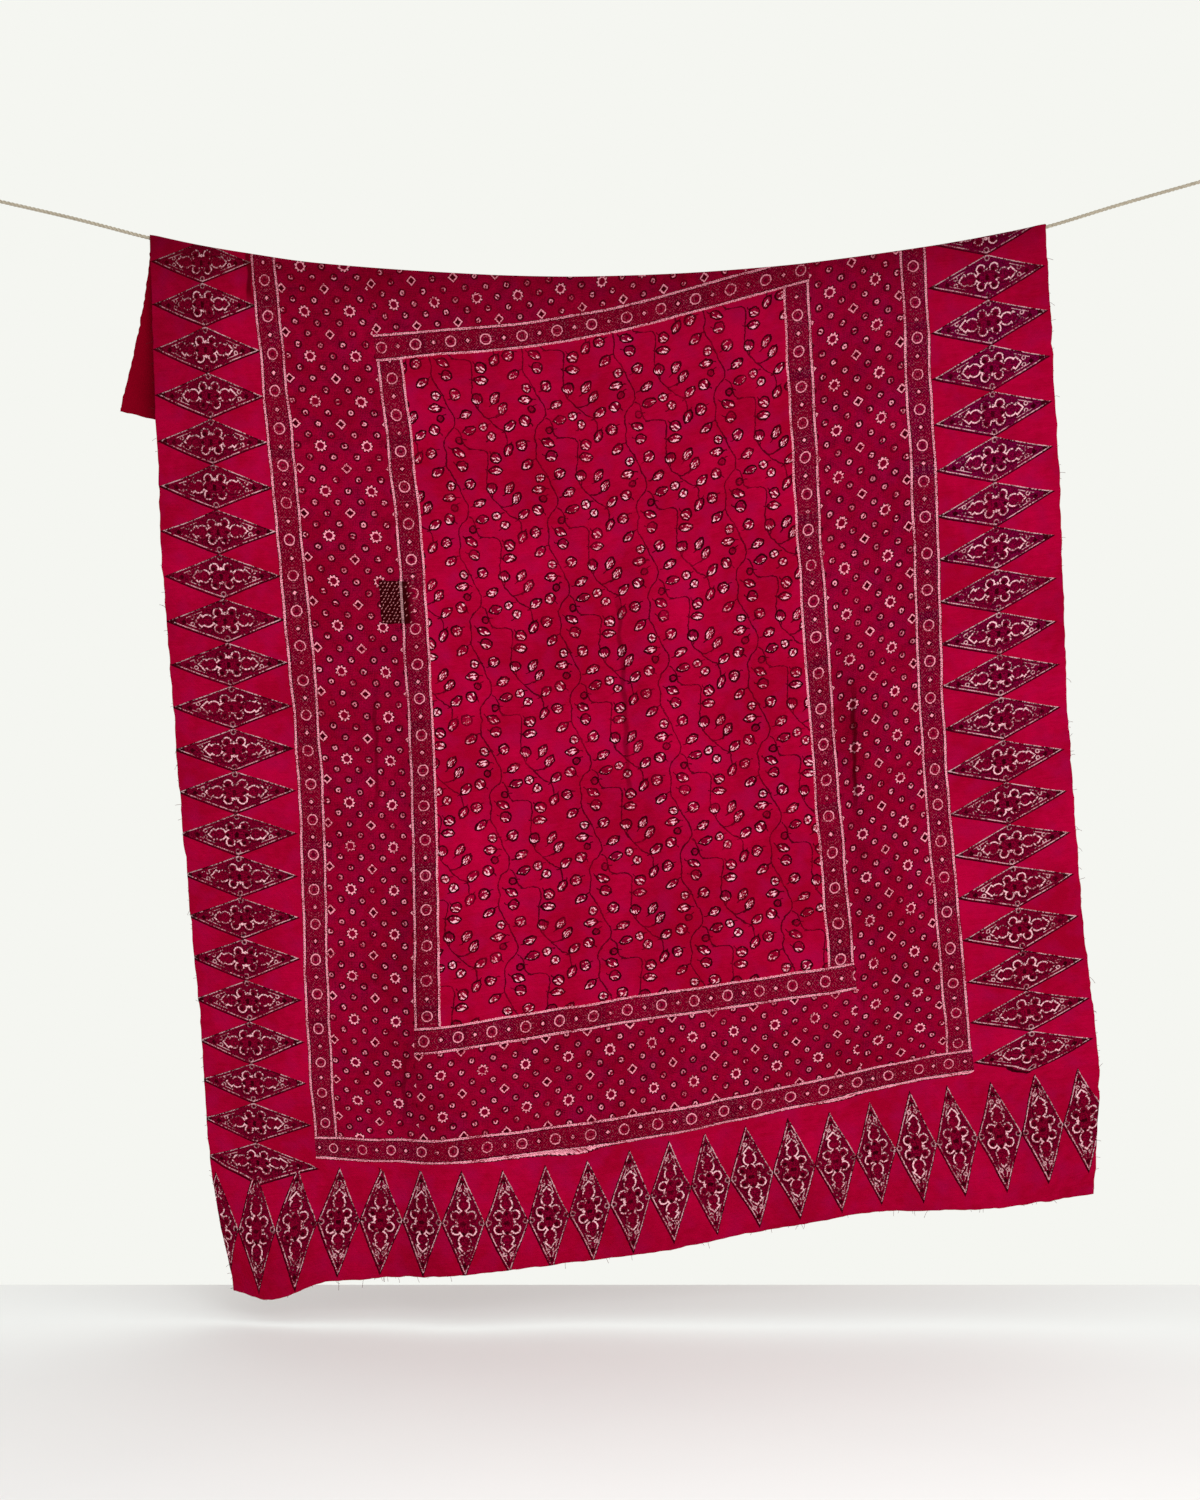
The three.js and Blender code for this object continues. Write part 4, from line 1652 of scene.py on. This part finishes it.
@dataclass(frozen=True)
class MendPatch:
    """Small darned patch with rows of slanting stitches."""

    drape: Drape
    left: float = 0.347
    right: float = 0.401
    upper: float = 0.31
    lower: float = 0.352
    seat: float = 0.0018
    thickness: float = 0.001
    stitch_rows: int = 13
    stitch_columns: int = 8
    stitch_length: float = 0.0032
    stitch_width: float = 0.0014
    stitch_jitter: float = 0.16
    bare_column: int = 5
    share_lost: float = 0.4
    cells: int = 24
    drop: float = 1.6
    rough_edge: float = 0.003
    rough_wave: float = 0.0012

    def build(self, cloth: bpy.types.Material) -> bpy.types.Object:
        """Makes the patch over the quilt's face."""
        across = np.linspace(self.left, self.right, self.cells + 1)
        share = np.linspace(self.lower, self.upper, self.cells + 1)
        middle = self.drape.layer(Panel.FRONT, share, across)
        flat = self.drape.flat(Panel.FRONT, share, across)
        wide = np.minimum(across - self.left, self.right - across)
        tall = np.minimum(share - self.upper, self.lower - share) * self.drop
        edge = np.minimum(np.minimum(wide, tall[:, None]) / self.rough_edge, 1)
        sideways = patchy(across, share[:, None] * self.drop, (0.007, 0.007), 31)
        upward = patchy(across, share[:, None], (0.009, 0.01), 32)
        middle[..., 0] += (1 - edge) * sideways * self.rough_wave
        middle[..., 2] += (1 - edge) * upward * self.rough_wave
        low = np.full(edge.shape, self.seat)
        high = low + self.thickness * (0.35 + 0.65 * edge)
        skin = Skin(CLOTH_MAP)
        skin.sheet(middle, low, high, flat)
        return skin.piece("darned_patch", [cloth, cloth], "patch_cloth", "mend_patch")

    def stitch(self, thread: bpy.types.Material) -> bpy.types.Object:
        """Sews the slanting stitches on it."""
        rng = np.random.default_rng(41)
        skin = Skin(STRAND_MAP)
        top = self.seat + self.thickness
        for row in range(self.stitch_rows):
            for column in range(self.stitch_columns):
                past = column - self.bare_column
                if past == 0 or (past > 0 and rng.random() < self.share_lost):
                    continue
                shift = rng.uniform(-self.stitch_jitter, self.stitch_jitter, 2)
                spot_across = (column + 0.3 + row % 2 / 2 + shift[0]) / (self.stitch_columns + 0.3)
                spot_down = (row + 0.6 + shift[1]) / (self.stitch_rows + 0.2)
                lean = rng.uniform(0.5, 1.2)
                half = self.stitch_length / 2 * rng.uniform(0.75, 1.15)
                run = np.linspace(-1, 1, 5)
                across = self.left + (self.right - self.left) * spot_across
                share = self.upper + (self.lower - self.upper) * spot_down
                base = self.drape.layer(Panel.FRONT, np.array([share]), np.array([across]))[0, 0]
                centres = np.stack([
                    base[0] + run * half * math.cos(lean),
                    base[1] - top - 0.0004 * (1 - run**2) + 0.0002,
                    base[2] + run * half * math.sin(lean),
                ], axis=1)
                skin.tube(centres, np.full(6, self.stitch_width / 2), np.zeros(5))
        return skin.piece("darning_stitches", [thread], "patch_cloth")

    def declare(
        self, patch: bpy.types.Object, cloth: bpy.types.Object, stitches: bpy.types.Object
    ) -> None:
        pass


@dataclass(frozen=True)
class EdgeThreads:
    """Loose thread ends along the cut edges and the hem."""

    drape: Drape
    on_sides: int = 75
    on_hem: int = 60
    thickness: float = 0.0006
    longest: float = 0.009

    def build(self, finish: bpy.types.Material) -> bpy.types.Object:
        """Makes the threads in one piece."""
        rng = np.random.default_rng(53)
        skin = Skin(STRAND_MAP)
        width = self.drape.width
        for count, edge in ((self.on_sides, 0.0), (self.on_sides, width), (self.on_hem, None)):
            for _ in range(count):
                if edge is None:
                    share, across = np.array([0.999, 1.0]), rng.uniform(0, width, 1)
                    inner, root = self.drape.layer(Panel.FRONT, share, across)[:, 0]
                else:
                    share = rng.uniform(0.02, 1, 1)
                    across = np.array([abs(edge - 0.004), edge])
                    inner, root = self.drape.layer(Panel.FRONT, share, across)[0]
                self.thread(skin, rng, root, unit(root - inner))
        return skin.piece("edge_threads", [finish], "quilt_cloth")

    def thread(self, skin: Skin, rng: np.random.Generator, root: Array, out: Array) -> None:
        """Adds one thread that leaves the edge and droops.

        Args:
            skin: the piece in the making.
            rng: seeded choice of its shape.
            root: where it leaves the edge.
            out: the way out of the cloth.
        """
        reach = self.longest * rng.uniform(0.2, 1) ** 2
        way = unit(out + rng.normal(0, 0.5, 3) * (1, 0.4, 1))
        run = np.linspace(-0.15, 1, 4)[:, None]
        curl = rng.normal(0, 0.25, 3) - (0, 0, 0.3)
        centres = root + reach * (run * way + run**2 * curl)
        skin.tube(centres, np.full(3, self.thickness / 2), np.zeros(4))


@dataclass(frozen=True)
class Studio:
    """Camera, soft light and a pale floor."""

    eye: Point = (1.088, -3.6075, -0.9043)
    lens: float = 54.0
    film_height: float = 36.0
    floor_middle: Point = (1.088, -4.73, -1.826)
    floor_size: float = 10.0
    floor_light: Colour = paint(236, 236, 237)
    floor_shade: Colour = paint(231, 231, 233)
    key_place: Point = (1.4, -2.2, -0.6)
    key_aim: Point = (1.1, 0.0, -0.9)
    key_size: float = 1.0
    key_power: float = 17.2
    sky: Colour = paint(245, 246, 241)
    sky_light: float = 0.405
    sky_right: float = 1.1
    sky_above: float = 0.68

    def build(self) -> None:
        """Sets up the camera, the world, the key light and the floor."""
        scene = bpy.context.scene
        scene.view_settings.view_transform = "Standard"
        camera = bpy.data.cameras.new("camera")
        camera.lens, camera.sensor_height = self.lens, self.film_height
        camera.sensor_fit = "VERTICAL"
        viewer = bpy.data.objects.new("camera", camera)
        viewer.location, viewer.rotation_euler = self.eye, (math.pi / 2, 0, 0)
        scene.collection.objects.link(viewer)
        scene.camera = viewer

        scene.world = bpy.data.worlds.new("pale_room")
        g = Graph(scene.world)
        seen = g.node("ShaderNodeBackground", None, {"Color": self.sky, "Strength": 1.0})
        right, _, above = g.parts(g.node("ShaderNodeTexCoord", None, None, "Generated"))
        glow = (right | 0.0) * self.sky_right + (above | 0.0) * self.sky_above + self.sky_light
        lit = g.node("ShaderNodeBackground", None, {"Color": self.sky, "Strength": glow})
        straight = g.node("ShaderNodeLightPath", None, None, "Is Camera Ray")
        g.node("ShaderNodeOutputWorld", None, {"Surface": g.overlay(straight, seen, lit)})

        lamp = bpy.data.lights.new("key", "AREA")
        lamp.energy, lamp.size = self.key_power, self.key_size
        key = bpy.data.objects.new("key", lamp)
        key.location = self.key_place
        aim = np.array(self.key_place) - np.array(self.key_aim)
        key.rotation_euler = (
            math.acos(aim[2] / np.linalg.norm(aim)), 0.0, math.atan2(aim[1], aim[0]) + math.pi / 2
        )
        scene.collection.objects.link(key)

        bpy.ops.object.select_all(action="DESELECT")
        bpy.ops.mesh.primitive_plane_add(size=self.floor_size, location=self.floor_middle)
        floor = bpy.context.object
        floor.name = "floor"
        g = Graph(bpy.data.materials.new("pale_floor"))
        place = g.node("ShaderNodeTexCoord", None, None, "Object")
        speck = g.noise(place, 0.4, 3)
        colour = g.blend(self.floor_light, self.floor_shade, speck)
        shader = g.surface(colour, 0.85 + speck * 0.1, g.bump(speck, 0.0002), {})
        floor.data.materials.append(g.close(shader))


def main() -> None:
    """Builds the studio and then every piece, cords first."""
    logging.basicConfig(level=logging.INFO, format="%(name)s %(message)s")
    Studio().build()

    rope_fibre = Strand("rope_fibre", paint(199, 189, 171), paint(160, 148, 130), 0.9)
    twine = Strand("twine", paint(173, 159, 128), paint(130, 115, 87), 0.5)
    line = RopeLine()
    rope, path = line.build(rope_fibre.material())
    twine_finish = twine.material()
    bindings = [Seizing(side).build(twine_finish) for side in Side]
    line.declare(rope, path, bindings)

    drape = Drape()
    quilt, mend = Quilt(drape), MendPatch(drape)
    cloth = quilt.build(PrintedCotton().material(), PlainCotton().material())
    red_thread = Strand("red_thread", paint(111, 3, 23), paint(64, 2, 12), 0.3)
    threads = EdgeThreads(drape).build(red_thread.material())
    patch = mend.build(DarnedCotton().material())
    cream_thread = Strand("cream_thread", paint(226, 146, 152), paint(150, 72, 80), 0.4)
    stitches = mend.stitch(cream_thread.material())
    quilt.declare(cloth, rope, [threads])
    mend.declare(patch, cloth, stitches)


if __name__ == "__main__":
    main()
